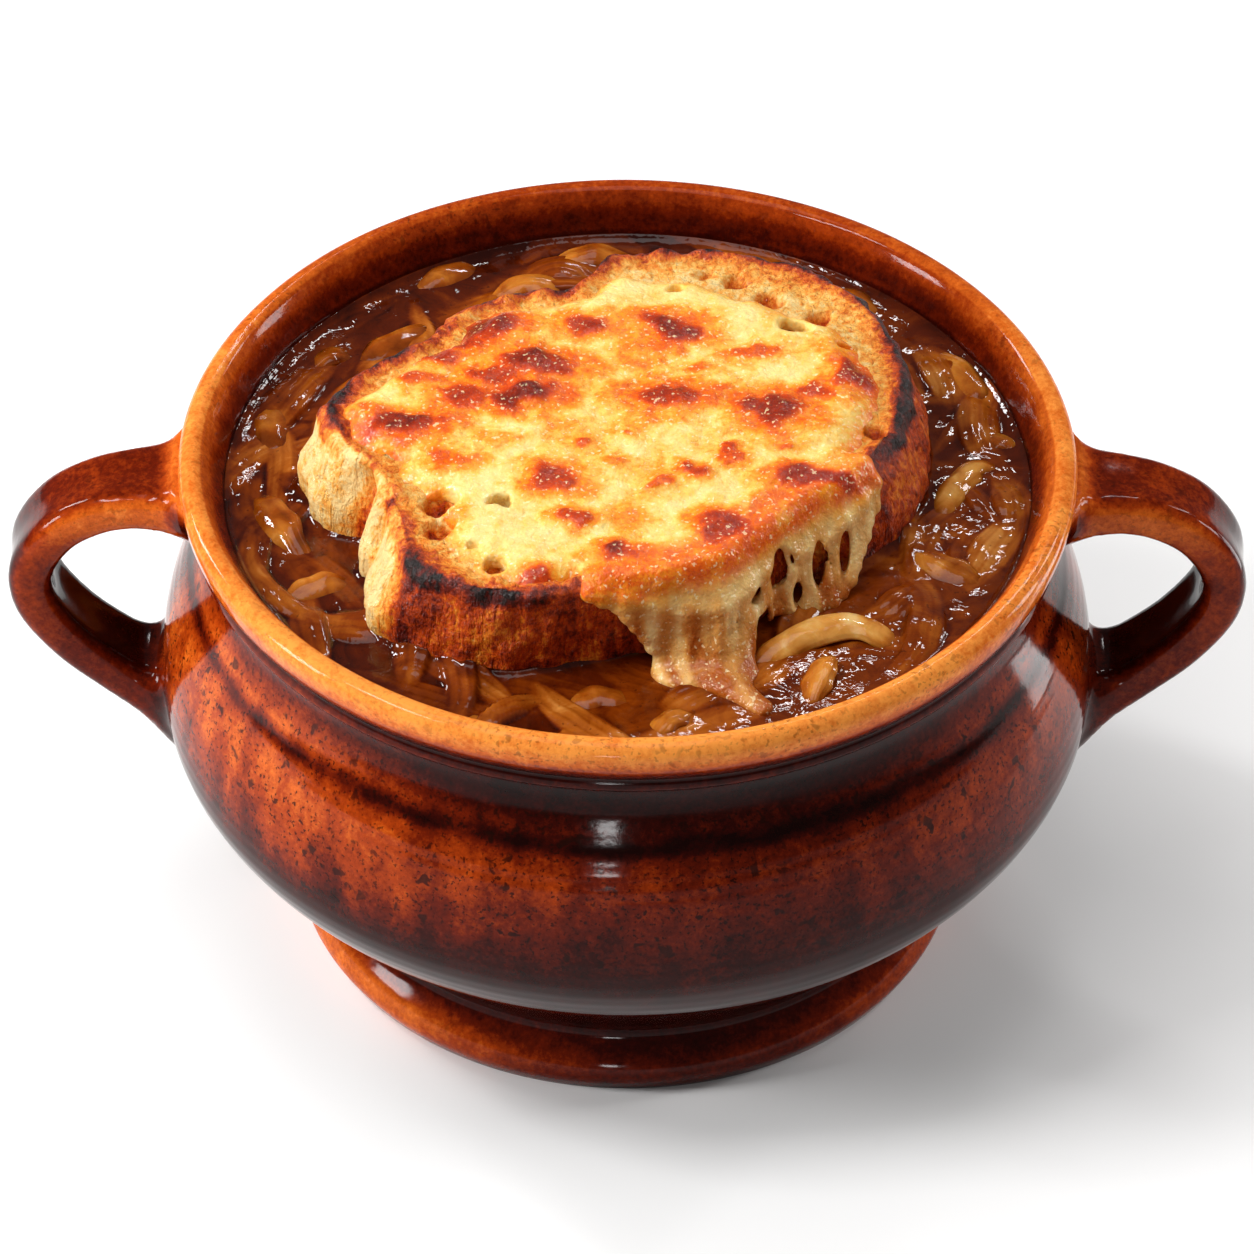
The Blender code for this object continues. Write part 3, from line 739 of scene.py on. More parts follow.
def make_bread():
    angles = np.linspace(-180, 180, BREAD_COLUMNS, endpoint=False)
    base = outline_radius(angles)
    rows = []
    inset = 1.1
    top_parts = np.linspace(0.02, 1.0, 58)
    for part in top_parts:
        rows.append((base * part - inset * part, np.full_like(base, BREAD_TOP)))
    for turn in np.radians([22, 45, 68, 90]):
        rounded = BREAD_TOP - inset + inset * np.cos(turn)
        rows.append((base - inset + inset * np.sin(turn), np.full_like(base, rounded)))
    for height in np.linspace(BREAD_TOP - inset - 0.6, SOUP_LEVEL - 1.6, 22):
        rows.append((base.copy(), np.full_like(base, height)))
    rows.append((base * 0.98, np.full_like(base, BREAD_BOTTOM + 2)))
    rows.append((base * 0.9, np.full_like(base, BREAD_BOTTOM)))
    rows.append((base * 0.02, np.full_like(base, BREAD_BOTTOM)))
    radius = np.stack([row[0] for row in rows])
    height = np.stack([row[1] for row in rows])
    degrees = np.broadcast_to(angles, radius.shape)
    on_side = np.zeros_like(radius)
    on_side[len(top_parts):] = 1.0
    radius = radius + side_offset(degrees, height) * on_side
    radius, degrees, side = radius.ravel(), degrees.ravel(), on_side.ravel()
    outward = np.stack([np.cos(np.radians(degrees)), np.sin(np.radians(degrees))], axis=1)
    flat = np.column_stack([BREAD_CENTRE + radius[:, None] * outward, height.ravel()])
    edge = outline_radius(degrees) - radius
    # Crust relief: small nubs at the rim, upright ridges down the side, an open crumb on top.
    around = np.column_stack([outward * 38, flat[:, 2] * 0.45])
    ridges = 0.42 * noise(around, 2.2, 41) + 0.25 * noise(around, 1.0, 42)
    lumps = 0.45 * noise(flat, 5.5, 43)
    sunk = smoothstep(SOUP_LEVEL - 1.4, SOUP_LEVEL + 1.0, flat[:, 2])
    out = (ridges + lumps) * side * sunk
    flat[:, :2] += outward * out[:, None]
    top = (1 - side) * smoothstep(-0.5, 2.0, edge)
    top += 0.35 * side * smoothstep(BREAD_TOP - 4, BREAD_TOP, flat[:, 2])
    crumb = 0.30 * noise(flat, 1.8, 44) + 0.22 * noise(flat, 0.9, 45) - 0.35
    back = 1 + 1.1 * smoothstep(60, 80, degrees) * smoothstep(130, 105, degrees)
    draped = smoothstep(-94, -84, degrees) * smoothstep(-14, -24, degrees)
    rim_nubs = np.exp(-((edge / 2.2) ** 2)) * (0.35 + 0.8 * noise(flat, 2.8, 46)) * back * (1 - draped)
    crumb += rim_nubs + 0.5 * np.exp(-((edge / 3.0) ** 2)) * (1 - 1.6 * draped)
    depth = hole_depth(flat)
    flat[:, 2] += (crumb - depth) * top
    char = char_amount(flat, degrees, edge)
    # Painted shade: the crumb is darker the deeper its holes go.
    tone_top = 0.20 + 0.24 * np.exp(-((edge / 3.6) ** 2)) + 0.17 * depth + 0.10 * fractal(flat, 7, 2, 47)
    # Paler golden crust on the left-facing faces, partly a lighter toast and partly painted light from the
    # left; it is cut back at the inward folds at -160 and -147 degrees, which is painted shade in those
    # creases.
    golden = np.clip(1.3 * bump_at(degrees, -173, 19) + 1.5 * bump_at(degrees, -143, 9.5), 0, 1)
    golden = np.clip(golden - 0.7 * bump_at(degrees, -160, 2.4) - 0.5 * bump_at(degrees, -147, 1.2), 0, 1)
    fibrous = noise(around * [1, 1, 0.5], 1.7, 50)
    tone_side = 0.60 - 0.56 * golden + 0.13 * golden * fibrous + 0.14 * noise(around, 3.2, 48)
    tone_side += 0.10 * smoothstep(SOUP_LEVEL + 5, SOUP_LEVEL, flat[:, 2])
    # Painted shade: the crust is darker on the right side, away from the light.
    tone_side += 0.06 * smoothstep(-40, 10, degrees) * smoothstep(70, 20, degrees)
    tone = np.where(side > 0.5, tone_side, tone_top)
    band = bump_at(degrees, -129.5, 2.0) * side * (0.75 + 0.3 * noise(flat, 3, 49))
    tone = np.clip(tone + char * 0.95 + 0.42 * band, 0, 1)
    faces = grid_faces(len(rows), BREAD_COLUMNS)[:, ::-1]
    make_piece("bread_toasted", flat, faces.tolist(), TOAST, ("bread",), {"toast": tone})


# ---------------------------------------------------------------- melted cheese

BROWN_SPOTS = [  # x, y, half width, half depth, strength
    (-20.5, 16.5, 6.4, 4.6, 0.80), (-26.5, 11.5, 4.6, 3.4, 0.60), (-5.4, 17.2, 3.8, 2.6, 0.64),
    (5.9, 16.3, 5.2, 3.6, 0.72), (-11.6, 8.0, 6.6, 3.4, 0.72), (-18.6, 5.6, 4.8, 2.6, 0.62),
    (-15.1, 1.3, 5.6, 3.4, 0.84), (-23.6, 0.5, 4.6, 3.0, 0.66), (-31.6, -5.4, 6.4, 3.2, 0.80),
    (-24.5, -11.8, 4.2, 2.4, 0.46), (-10.1, -16.3, 4.2, 3.4, 0.62), (-7.2, -24.7, 2.4, 2.0, 0.58),
    (-1.5, -31.9, 3.6, 2.4, 0.72), (-12.3, -37.2, 3.2, 2.0, 0.60), (4.7, 1.1, 6.0, 3.2, 0.68),
    (20.0, -1.9, 5.4, 4.0, 0.74), (9.3, -14.8, 2.5, 1.9, 0.64), (14.5, -11.2, 2.2, 1.8, 0.50),
    (-6.3, -8.4, 1.8, 1.3, 0.48), (0.4, -7.3, 1.6, 1.2, 0.40), (3.8, -17.1, 1.8, 1.4, 0.44),
    (14.0, -26.6, 4.8, 3.8, 0.62), (26.0, -15.8, 6.4, 2.8, 0.74), (31.6, 7.0, 3.8, 4.6, 0.68),
    (16.7, 11.0, 4.6, 2.0, 0.42), (9.8, 7.0, 3.4, 1.8, 0.36), (27.0, 2.6, 3.6, 2.0, 0.52),
    (12.0, 3.4, 4.0, 1.6, 0.34), (-3.0, -13.0, 2.4, 1.2, 0.30), (22.0, -8.6, 3.0, 1.4, 0.40),
    (-18.0, -8.0, 3.6, 1.4, 0.26), (-28.0, 4.6, 4.4, 2.2, 0.44),
]
CHEESE_INSET = [  # degrees round the toast, and how far in from its edge the cheese stops
    (-180, 1.6), (-165, 0.8), (-152, 2.2), (-143, 5.0), (-132, 5.6), (-122, 3.6), (-110, 1.4),
    (-96, 0.4), (-86, 1.5), (-22, 1.5), (-10, 1.6), (4, 3.0), (22, 5.4), (40, 7.4), (56, 8.5),
    (72, 7.0), (88, 4.0), (104, 3.0), (122, 2.8), (140, 2.2), (158, 2.8), (172, 2.0), (180, 1.6),
]
DRAPE_TOPS = [  # x, y of the line that the curtain of cheese hangs from
    (-5.0, -36.6), (0.2, -36.2), (3.4, -35.6), (5.8, -35.1), (9.9, -33.2), (12.9, -31.8),
    (15.6, -28.9), (18.8, -25.7), (23.1, -20.8), (27.1, -17.3), (30.5, -14.7), (33.0, -11.6),
]
DRAPE_FEET = [  # x, y, z of the line that it reaches down to
    (-5.0, -37.6, 84.4), (-0.6, -37.6, 81.4), (2.6, -37.4, 76.4), (5.2, -37.6, 72.6),
    (8.6, -38.6, 72.0), (12.2, -39.4, 72.0), (15.4, -38.0, 72.2), (17.2, -32.6, 73.6),
    (20.4, -27.6, 73.2), (24.2, -26.0, 72.2), (29.4, -23.6, 72.2), (33.8, -13.6, 80.0),
]
STRANDS = 30
WINDOWS = [  # openings in the curtain of cheese: centre, then half sizes
    ((21.0, -24.8, 79.4), (1.9, 4.5, 2.9)), ((17.4, -29.8, 78.4), (0.75, 3.5, 1.3)),
    ((26.2, -22.8, 77.6), (0.9, 4.0, 3.2)), ((29.8, -20.0, 77.4), (0.7, 4.0, 3.0)),
    ((18.6, -31.0, 73.8), (1.0, 3.0, 1.4)), ((23.4, -26.6, 74.6), (0.7, 3.0, 1.6)),
]
WEBS = [  # thin strings across the openings, each through three points
    ((21.4, -24.6, 82.0), (22.4, -25.6, 78.4), (21.6, -26.8, 75.4), 0.35),
]


def cheese_edge(points):
    """Distance in from the line where the cheese stops, on top of the toast."""
    arm = points[:, :2] - BREAD_CENTRE
    degrees = np.degrees(np.arctan2(arm[:, 1], arm[:, 0]))
    table = np.array(CHEESE_INSET)
    inset = np.interp(degrees, table[:, 0], table[:, 1])
    radius = np.hypot(arm[:, 0], arm[:, 1])
    ragged = 1.1 * noise(points * [1, 1, 0], 5.0, 61) + 0.5 * noise(points * [1, 1, 0], 2.0, 62)
    return outline_radius(degrees) - inset - radius + ragged * smoothstep(-1.0, 1.5, inset)


def browning(points):
    """How browned the cheese is, in blotches with ragged edges and golden surroundings."""
    ragged_x = points[:, 0] + 1.5 * noise(points, 4.0, 71) + 0.7 * noise(points, 1.5, 73)
    ragged_y = points[:, 1] + 1.5 * noise(points, 4.0, 72) + 0.7 * noise(points, 1.5, 74)
    total = np.zeros(len(points))
    for x, y, wide, deep, strength in BROWN_SPOTS:
        gap = np.hypot((ragged_x - x) / wide, (ragged_y - y) / deep)
        total = np.maximum(total, strength * smoothstep(1.4, 0.35, gap))
        total = np.maximum(total, 0.46 * strength * smoothstep(2.1, 1.0, gap))
    return total


def capsule(points, start, end, start_radius, end_radius):
    axis = np.asarray(end, float) - start
    along = np.clip((points - start) @ axis / (axis @ axis), 0, 1)
    gap = np.linalg.norm(points - start - along[:, None] * axis, axis=1)
    return gap - (start_radius + (end_radius - start_radius) * along)


def drape_strands():
    """Centre lines of the strands that make up the curtain, and each strand's thickness."""
    tops = resample(spline(DRAPE_TOPS, 8), STRANDS)
    feet = resample(spline(DRAPE_FEET, 8), STRANDS)
    strands = []
    for index, (top, foot) in enumerate(zip(tops, feet)):
        arm = top - BREAD_CENTRE
        arm = arm / np.linalg.norm(arm)
        middle = (top + arm * 0.9) * 0.66 + foot[:2] * 0.34
        low = top * 0.3 + foot[:2] * 0.7
        path = np.array([
            (*(top - arm * 5.0), BREAD_TOP), (*(top - arm * 1.0), BREAD_TOP - 0.4),
            (*middle, BREAD_TOP * 0.6 + foot[2] * 0.4), (*low, BREAD_TOP * 0.22 + foot[2] * 0.78), foot,
        ])
        thick = 0.82 + 0.26 * math.sin(index * 2.4) + 0.14 * math.sin(index * 5.1)
        strands.append((path, (1.5, 1.5, thick, thick * 0.9, 0.6 + thick * 0.5)))
    return strands


DRAPE = drape_strands()


def cheese_field(points):
    flat = points * [1, 1, 0]
    edge = cheese_edge(points)
    blisters = browning(flat)
    height = BREAD_TOP + 1.4 + 0.45 * noise(flat, 9, 63)
    height += 0.22 * noise(flat, 3.6, 64) + 0.10 * noise(flat, 1.4, 65)
    height = height + 1.15 * blisters + 0.5 * blisters * noise(flat, 2.0, 66)
    height = height - 3.2 * smoothstep(7.0, -1.0, edge) ** 2
    height = height - 1.6 * hole_depth(points)
    sheet = smooth_max(points[:, 2] - height, -(edge + 0.5), 1.2)
    sheet = np.maximum(sheet, BREAD_TOP - 1.6 - points[:, 2])
    value = sheet
    near = (points[:, 1] < -8) & (points[:, 0] > -9)
    if near.any():
        spot = points[near]
        part = value[near]
        for path, radii in DRAPE:
            for k in range(len(path) - 1):
                part = smooth_min(part, capsule(spot, path[k], path[k + 1], radii[k], radii[k + 1]), 1.2)
        for centre, reach in WINDOWS:
            shift = (spot - np.array(centre)) / np.array(reach)
            part = smooth_max(part, (1 - np.linalg.norm(shift, axis=1)) * min(reach), 0.7)
        for start, middle, end, radius in WEBS:
            part = smooth_min(part, capsule(spot, start, middle, radius, radius), 0.9)
            part = smooth_min(part, capsule(spot, middle, end, radius, radius), 0.9)
        # The cheese that has run out over the broth.
        pool = np.sqrt(((spot[:, 0] - 10.6) / 7.4) ** 2 + ((spot[:, 1] + 38.8) / 4.0) ** 2
                       + ((spot[:, 2] - SOUP_LEVEL + 0.2) / 1.7) ** 2)
        part = smooth_min(part, (pool - 1) * 1.6, 1.4)
        part = smooth_min(part, capsule(spot * [1, 1, 1.6], np.array([12.6, -40.6, SOUP_LEVEL * 1.6]),
                                        np.array([18.4, -46.2, SOUP_LEVEL * 1.6]), 2.4, 1.5), 1.4)
        value[near] = part
    return value


def make_cheese():
    step = 0.5
    low = np.array([-43.0, -50.0, SOUP_LEVEL - 1.4])
    high = np.array([43.0, 34.0, BREAD_TOP + 4.2])
    points, faces = surface_net(sampled(cheese_field, low, high, step), low, step)
    points = settle(points, cheese_field, 1)
    flat = points * [1, 1, 0]
    edge = cheese_edge(points)
    on_top = smoothstep(BREAD_TOP - 4.4, BREAD_TOP - 1.2, points[:, 2])
    brown = browning(flat) * on_top
    brown = np.maximum(brown, 0.34 * smoothstep(5.5, 0.5, edge) * on_top)
    golden = smoothstep(-0.15, 0.7, fractal(flat, 9, 3, 67))
    brown = np.maximum(brown, 0.24 * golden * on_top) + 0.03 + 0.05 * noise(flat, 2.4, 68) * on_top
    # The cheese below the toast's top gets the darker colour that is partly soaking and partly painted
    # shade.
    wet_and_shaded = smoothstep(BREAD_TOP - 0.2, BREAD_TOP - 4.5, points[:, 2])
    strand = np.column_stack([points[:, 0] + 0.35 * points[:, 1], 0 * edge, points[:, 2] * 0.12])
    streak = 0.60 + 0.52 * noise(strand, 1.9, 75) + 0.30 * noise(strand, 0.9, 76)
    streak -= 0.12 * smoothstep(SOUP_LEVEL + 3, SOUP_LEVEL + 1, points[:, 2])
    streak -= 0.34 * smoothstep(BREAD_TOP - 7, SOUP_LEVEL, points[:, 2])
    streak -= 0.10 * smoothstep(20, 28, points[:, 0]) + 0.34 * smoothstep(6, -1, points[:, 0])
    make_piece("cheese_melted", points, faces.tolist(), CHEESE, ("melted_cheese",),
               {"brown": np.clip(brown, 0, 1), "wet_and_shaded": wet_and_shaded, "streak": np.clip(streak, 0, 1)})


# ---------------------------------------------------------------- onions and broth

STRIPS = {  # floating strips of onion: centre line, width, paleness
    "onion_arch": ([(16.6, -39.8, 71.6), (22.0, -33.8, 73.4), (30.2, -30.4, 74.0),
                    (38.2, -34.4, 72.2)], 5.2, 0.76),
    "onion_right_curl": ([(42.6, -9.8, 71.6), (44.6, -2.2, 72.8), (48.4, 3.4, 73.0),
                          (53.4, 2.6, 71.8)], 4.4, 0.62),
    "onion_right_low": ([(37.4, -11.6, 71.8), (42.0, -17.0, 72.8), (50.8, -21.6, 71.6)], 6.6, 0.42),
    "onion_upright": ([(28.0, -37.0, 75.2), (26.0, -41.2, 73.5), (24.4, -46.4, 71.6)], 4.2, 0.54),
    "onion_front_lens": ([(-11.0, -45.8, 71.2), (-4.2, -44.2, 72.6), (3.0, -45.0, 71.4)], 6.4, 0.48),
    "onion_front_point": ([(9.4, -46.0, 71.8), (5.6, -48.8, 73.0), (2.8, -52.6, 71.6)], 4.8, 0.50),
    "onion_front_long": ([(-37.4, -36.2, 71.4), (-28.0, -42.2, 72.0), (-16.4, -45.6, 71.4)], 5.2, 0.36),
    "onion_front_small": ([(-27.6, -46.0, 71.2), (-20.6, -49.6, 72.1), (-12.8, -51.4, 71.1)], 4.2, 0.3),
    "onion_left_pale": ([(-48.0, -26.0, 71.4), (-42.4, -23.2, 72.6), (-36.8, -20.6, 72.0)], 6.6, 0.50),
    "onion_left_clump": ([(-53.0, -1.0, 71.4), (-49.6, -8.6, 73.2), (-44.6, -17.0, 71.6)], 7.0, 0.30),
    "onion_left_tall": ([(-48.8, 22.2, 71.4), (-50.4, 13.4, 73.0), (-49.0, 4.4, 71.6)], 6.4, 0.27),
    "onion_back_left": ([(-38.6, 24.6, 71.4), (-32.8, 31.6, 73.0), (-24.6, 36.6, 71.6)], 6.4, 0.34),
    "onion_left_corner": ([(-47.0, 24.8, 71.2), (-42.6, 28.8, 72.6), (-38.2, 29.4, 71.8)], 4.4, 0.34),
    "onion_back_one": ([(-32.0, 41.2, 71.3), (-26.0, 46.6, 73.0), (-20.0, 49.0, 71.6)], 5.2, 0.34),
    "onion_back_two": ([(-20.4, 39.8, 71.4), (-14.6, 43.6, 73.2), (-7.8, 42.8, 71.6)], 5.2, 0.34),
    "onion_back_three": ([(-12.8, 48.2, 71.4), (-5.6, 50.6, 73.0), (2.2, 50.0, 71.6)], 5.0, 0.32),
    "onion_right_back": ([(24.8, 44.6, 71.3), (31.6, 41.6, 73.0), (38.0, 36.4, 71.6)], 5.8, 0.42),
    "onion_right_long": ([(40.8, 32.4, 71.4), (46.8, 24.8, 73.0), (49.6, 16.0, 71.7)], 5.6, 0.42),
    "onion_right_short": ([(47.8, 13.0, 71.5), (52.6, 10.2, 72.6), (53.4, 7.0, 71.4)], 4.0, 0.5),
}
STRIP_ROWS = 40
STRIP_COLUMNS = 18
STRIP_HALF_THICKNESS = 0.5


def strip_mesh(centre, width, seed):
    """A curled strip of onion, cupped across, with a wavy edge, whose ends dip under the broth."""
    path = resample(spline(centre, 10), STRIP_ROWS)
    middle = path.mean(axis=0)
    path = middle + (path - middle) * [1.16, 1.16, 1.0]
    part = np.linspace(0, 1, STRIP_ROWS)
    path[:, 2] -= 0.75 + 2.4 * (1 - np.sin(math.pi * part)) ** 2
    along = np.gradient(path, axis=0)
    along /= np.linalg.norm(along, axis=1)[:, None]
    twist = 0.7 * math.sin(seed * 2.3)
    up = np.array([math.sin(twist) * 0.5, math.cos(seed) * 0.35, 1.0])
    across = np.cross(along, up)
    across /= np.linalg.norm(across, axis=1)[:, None]
    up = np.cross(across, along)
    fullness = np.maximum(np.sin(math.pi * (0.02 + 0.96 * part)), 0.02) ** 0.55
    turn = np.linspace(0, math.tau, STRIP_COLUMNS, endpoint=False)
    side = np.sign(np.cos(turn)) * np.abs(np.cos(turn)) ** 0.8
    lift = np.sign(np.sin(turn)) * np.abs(np.sin(turn)) ** 0.8
    wavy = 1 + 0.06 * np.sin(part * 9 + seed) + 0.06 * np.sin(part * 23 + seed * 2)
    half = (width / 2 * fullness * wavy)[:, None] * side
    ribs = 0.10 * np.cos(side * 11 + seed)
    cup = -0.17 * width * ((side + 0.25) ** 2)[None, :] * fullness[:, None] + ribs[None, :] * (lift > 0)
    rise = (STRIP_HALF_THICKNESS * fullness)[:, None] * lift + cup
    points = path[:, None, :] + across[:, None, :] * half[..., None] + up[:, None, :] * rise[..., None]
    points = points.reshape(-1, 3)
    wobble = 0.25 * noise(points, 2.6, seed)
    points = points + up.repeat(STRIP_COLUMNS, axis=0) * wobble[:, None]
    faces = grid_faces(STRIP_ROWS, STRIP_COLUMNS)
    veins = np.tile(0.5 + 0.5 * np.cos(side * 12 + seed), STRIP_ROWS)
    middle = np.tile(1 - np.abs(side), STRIP_ROWS)
    return points, faces, veins, middle


def cap_ends(rows, columns):
    """Fans of triangles that close both ends of a strip."""
    first = np.arange(1, columns - 1)
    start = np.stack([np.zeros_like(first), first + 1, first], axis=1)
    base = (rows - 1) * columns
    end = np.stack([np.full_like(first, base), base + first, base + first + 1], axis=1)
    return np.vstack([start, end])


def strip_tone(points, pale, middle, veins):
    """Darker where it is thin at the edges and where it dips into the broth."""
    under = smoothstep(SOUP_LEVEL - 0.6, SOUP_LEVEL + 1.2, points[:, 2])
    tone = (pale + 0.02) * (0.45 + 0.55 * under) + 0.14 * middle - 0.05 + 0.22 * noise(points, 3, 51)
    return np.clip(tone + 0.12 * (veins - 0.5), 0, 1)


def make_onions():
    caps = cap_ends(STRIP_ROWS, STRIP_COLUMNS).tolist()
    for seed, (name, (centre, width, pale)) in enumerate(STRIPS.items(), 1):
        points, faces, veins, middle = strip_mesh(centre, width, seed)
        attributes = {"pale": strip_tone(points, pale, middle, veins), "veins": veins}
        make_piece(f"{name}_strip", points, faces.tolist() + caps, ONION, (name,), attributes)


BROTH_STRIPS = 92


def broth_strips():
    """Strips lying in the skin of the broth: centre line, half width, height above the level, paleness."""
    draw = np.random.default_rng(19)
    strips = []
    for index in range(BROTH_STRIPS):
        angle = math.tau * (index * 0.618 + draw.uniform(-0.05, 0.05))
        radius = draw.uniform(36, 54)
        heading = angle + math.pi / 2 + draw.normal(0, 0.6)
        centre = np.array([math.cos(angle), math.sin(angle)]) * radius
        half = draw.uniform(5, 15)
        bend = draw.uniform(-0.4, 0.4) * half
        forward = np.array([math.cos(heading), math.sin(heading)])
        sideways = np.array([-forward[1], forward[0]])
        route = [centre - forward * half, centre - forward * half * 0.4 + sideways * bend,
                 centre + forward * half * 0.4 + sideways * bend, centre + forward * half]
        strips.append((resample(spline(route, 12), 60), draw.uniform(1.6, 3.6), draw.uniform(-1.2, 1.2),
                       draw.uniform(0.34, 0.72) + 0.14 * smoothstep(0, 30, centre[0] - 0.4 * centre[1])))
    return sorted(strips, key=lambda strip: strip[2])


BROTH_COLUMNS = 760
WALL_RADIUS = 55.9


def broth_surface(flat):
    """Height of the broth's skin over its level, and how much pale onion shows in it, with a painted shade
    line along each strip's edge.
    """
    place = np.column_stack([flat, 0 * flat[:, 0]])
    height = 0.22 * noise(place, 7, 82) + 0.10 * noise(place, 2.6, 83)
    murk = 0.24 + 0.16 * fractal(place, 10, 2, 81) + 0.13 * smoothstep(5, 35, flat[:, 0] - 0.4 * flat[:, 1])
    for order, (curve, half_width, stand, pale) in enumerate(broth_strips()):
        middle = curve.mean(axis=0)
        reach = np.linalg.norm(curve - middle, axis=1).max() + half_width
        near = np.flatnonzero(np.hypot(*(flat - middle).T) < reach)
        arm = flat[near][:, None, :] - curve[None, :, :]
        gap = np.hypot(arm[..., 0], arm[..., 1])
        index = gap.argmin(axis=1)
        tangent = np.gradient(curve, axis=0)
        tangent /= np.linalg.norm(tangent, axis=1)[:, None]
        arm = arm[np.arange(len(near)), index]
        across = tangent[index, 0] * arm[:, 1] - tangent[index, 1] * arm[:, 0]
        past = np.abs((tangent[index] * arm).sum(axis=1))
        part = index / (len(curve) - 1)
        half = half_width * np.sin(math.pi * (0.04 + 0.92 * part)) ** 0.55
        half += 0.15 * noise(place[near], 2.5, order)
        v = across / np.maximum(half, 0.2)
        inside = smoothstep(1.0, 0.82, np.abs(v)) * smoothstep(0.9, 0.3, past)
        dome = np.sqrt(np.maximum(1 - v**2, 0))
        ends = np.sin(math.pi * part)
        top = stand * ends + 0.55 * (dome - 1) - 0.7 * (1 - ends) + 0.22 * v
        warp = across + 0.4 * noise(place[near], 4.0, order + 9)
        top += 0.045 * np.cos(warp * 3.9 + order) + 0.22 * noise(place[near], 3.4, order + 5)
        sunk = np.maximum(height[near] - top, 0)
        show = inside * np.exp(-sunk / 0.8)
        shade = pale * (0.60 + 0.40 * dome) + 0.05 * np.cos(warp * 3.9 + order + 1.2)
        shade += 0.03 * np.cos(warp * 8.3 + 2 * order) + 0.16 * noise(place[near], 3.0, order + 3)
        murk[near] = murk[near] * (1 - show) + shade * show
        # Painted shade: a dark line along each strip's edge, in the crease where it meets the broth.
        painted_crease_shade = np.exp(-(((np.abs(v) - 1.05) / 0.16) ** 2)) * np.exp(-sunk / 0.5)
        murk[near] -= 0.10 * painted_crease_shade * smoothstep(0.9, 0.3, past)
        raised = smooth_max(height[near], top, 0.25)
        height[near] += (raised - height[near]) * inside
    return height, murk


def make_broth():
    radii = np.concatenate([[0.5, 12.0, 24.0], np.arange(30.0, WALL_RADIUS - 1.2, 0.215),
                            np.linspace(WALL_RADIUS - 1.2, WALL_RADIUS + 0.35, 8)])
    angles = np.linspace(0, math.tau, BROTH_COLUMNS, endpoint=False)
    radius = np.repeat(radii, BROTH_COLUMNS)
    turn = np.tile(angles, len(radii))
    flat = np.stack([radius * np.cos(turn), radius * np.sin(turn)], axis=1)
    height, murk = broth_surface(flat)
    wall = WALL_RADIUS - radius
    height *= smoothstep(0.0, 1.6, wall)
    height += SOUP_LEVEL - 0.1 + 0.8 * np.exp(-np.maximum(wall, 0) / 0.6)
    arm = flat - BREAD_CENTRE
    degrees = np.degrees(np.arctan2(arm[:, 1], arm[:, 0]))
    crust = np.hypot(*arm.T) - outline_radius(degrees) - side_offset(degrees, np.full(len(flat), SOUP_LEVEL))
    height += 0.8 * np.exp(-np.maximum(crust, 0) / 0.6)
    # Painted shade: the broth is darker next to the crock's wall and round the toast's crust.
    murk = murk - 0.20 * np.exp(-np.maximum(wall, 0) / 1.6) - 0.18 * np.exp(-np.maximum(crust, 0) / 2.0)
    top = np.column_stack([flat, height])
    below = top[-BROTH_COLUMNS:] * [0.985, 0.985, 1] - [0, 0, 4.0]
    floor = np.array([[0.0, 0.0, SOUP_LEVEL - 6.0]])
    points = np.vstack([top, below, floor])
    faces = grid_faces(len(radii) + 1, BROTH_COLUMNS).tolist()
    faces.append(list(range(BROTH_COLUMNS))[::-1])
    last = len(radii) * BROTH_COLUMNS
    for column in range(BROTH_COLUMNS):
        faces.append((last + column, last + (column + 1) % BROTH_COLUMNS, len(points) - 1))
    extra = np.zeros(BROTH_COLUMNS + 1)
    make_piece("broth", points, faces, BROTH, ("soup",),
               {"murk": np.concatenate([np.clip(murk, 0, 1), extra])})


# ---------------------------------------------------------------- stage


def make_stage():
    shader = Shader("pale_floor", Roughness=0.8)
    shader.colour(shader.ramp(shader.noise(60, 2), (0.0, (0.93, 0.925, 0.92)), (1.0, (0.95, 0.945, 0.94))))
    size = 1.6
    mesh = bpy.data.meshes.new("floor")
    corners = [(-size, -size, 0), (size, -size, 0), (size, size, 0), (-size, size, 0)]
    mesh.from_pydata(corners, [], [(0, 1, 2, 3)])
    mesh.materials.append(shader.material)
    floor = bpy.data.objects.new("floor", mesh)
    bpy.context.scene.collection.objects.link(floor)


def aim(thing, target):
    """Turns a lamp or camera so that its -Z axis points at the target."""
    direction = np.asarray(target, float) - np.asarray(thing.location)
    thing.rotation_euler = Vector(direction).to_track_quat("-Z", "Y").to_euler()


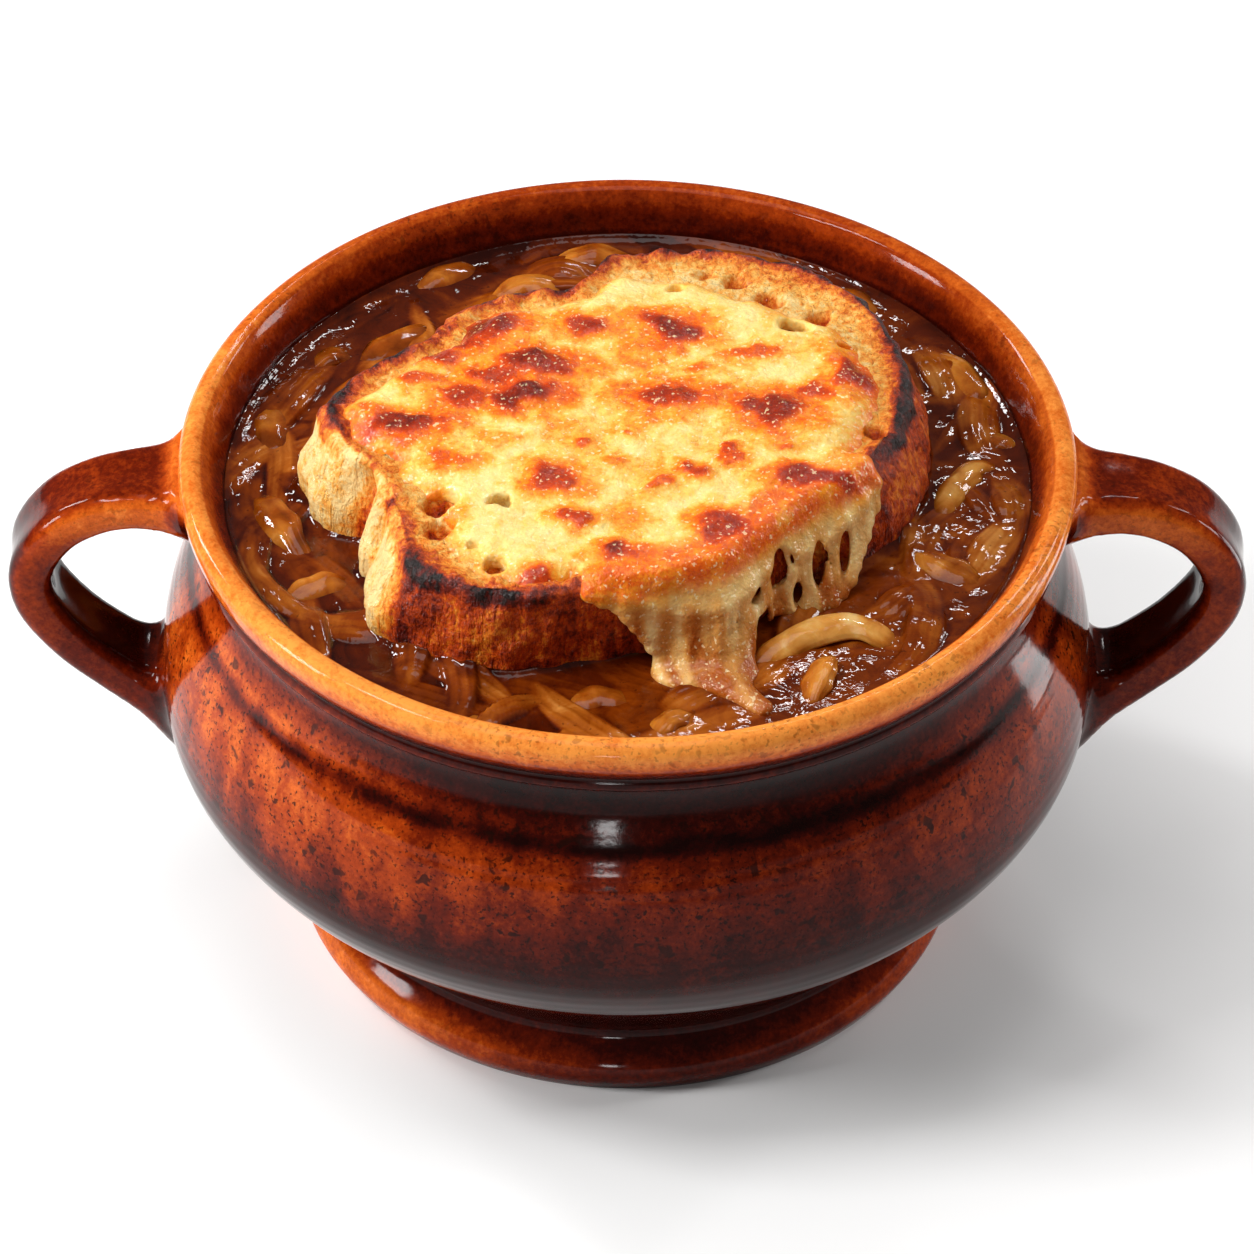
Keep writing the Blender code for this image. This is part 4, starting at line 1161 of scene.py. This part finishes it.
def softbox(name, place, width, depth, radiance):
    """A rectangular lamp aimed at the object."""
    lamp = bpy.data.lights.new(name, "AREA")
    lamp.shape = "RECTANGLE"
    lamp.size = width
    lamp.size_y = depth
    lamp.energy = radiance * math.pi * width * depth
    box = bpy.data.objects.new(name, lamp)
    box.location = place
    bpy.context.scene.collection.objects.link(box)
    aim(box, (0, 0, 0.05))


def make_lights():
    softbox("top_softbox", (-0.10, 0.0, 1.0), 0.60, 0.50, 2.5)
    softbox("back_left_softbox", (-0.70, 0.48, 0.55), 0.10, 0.24, 40.0)
    softbox("back_right_softbox", (0.70, 0.48, 0.55), 0.10, 0.18, 20.0)
    softbox("key_lamp", (-0.50, -0.16, 0.80), 0.28, 0.09, 43.0)
    softbox("left_softbox", (-0.72, -0.12, 0.34), 0.18, 0.22, 36.0)
    softbox("right_softbox", (0.80, 0.20, 0.30), 0.14, 0.28, 18.0)
    softbox("right_low_softbox", (0.200, 0.050, 0.040), 0.05, 0.06, 8.0)
    softbox("back_strip", (0.20, 0.66, 0.78), 0.36, 0.025, 42.0)
    softbox("front_lamp", (-0.05, -0.7, 0.10), 0.05, 0.05, 40.0)
    world = bpy.data.worlds.new("studio")
    world.use_nodes = True
    world.node_tree.nodes["Background"].inputs["Color"].default_value = (1, 1, 1, 1)
    world.node_tree.nodes["Background"].inputs["Strength"].default_value = 0.15
    bpy.context.scene.world = world


ELEVATION = math.radians(41.0)
CAMERA_DISTANCE = 1.2
AIM_HEIGHT = 0.046
LENS = 243.7
ROLL = math.radians(0.3)


def make_camera():
    camera_data = bpy.data.cameras.new("camera")
    camera_data.lens = LENS
    camera_data.sensor_width = 36.0
    camera_data.clip_end = 20
    camera = bpy.data.objects.new("camera", camera_data)
    camera.location = (0, -CAMERA_DISTANCE * math.cos(ELEVATION),
                       AIM_HEIGHT + CAMERA_DISTANCE * math.sin(ELEVATION))
    bpy.context.scene.collection.objects.link(camera)
    aim(camera, (0, 0, AIM_HEIGHT))
    camera.rotation_euler.rotate_axis("Z", ROLL)
    bpy.context.scene.camera = camera
    bpy.context.scene.view_settings.view_transform = "Standard"


make_crock()
make_broth()
make_onions()
make_bread()
make_cheese()
make_stage()
make_lights()
make_camera()
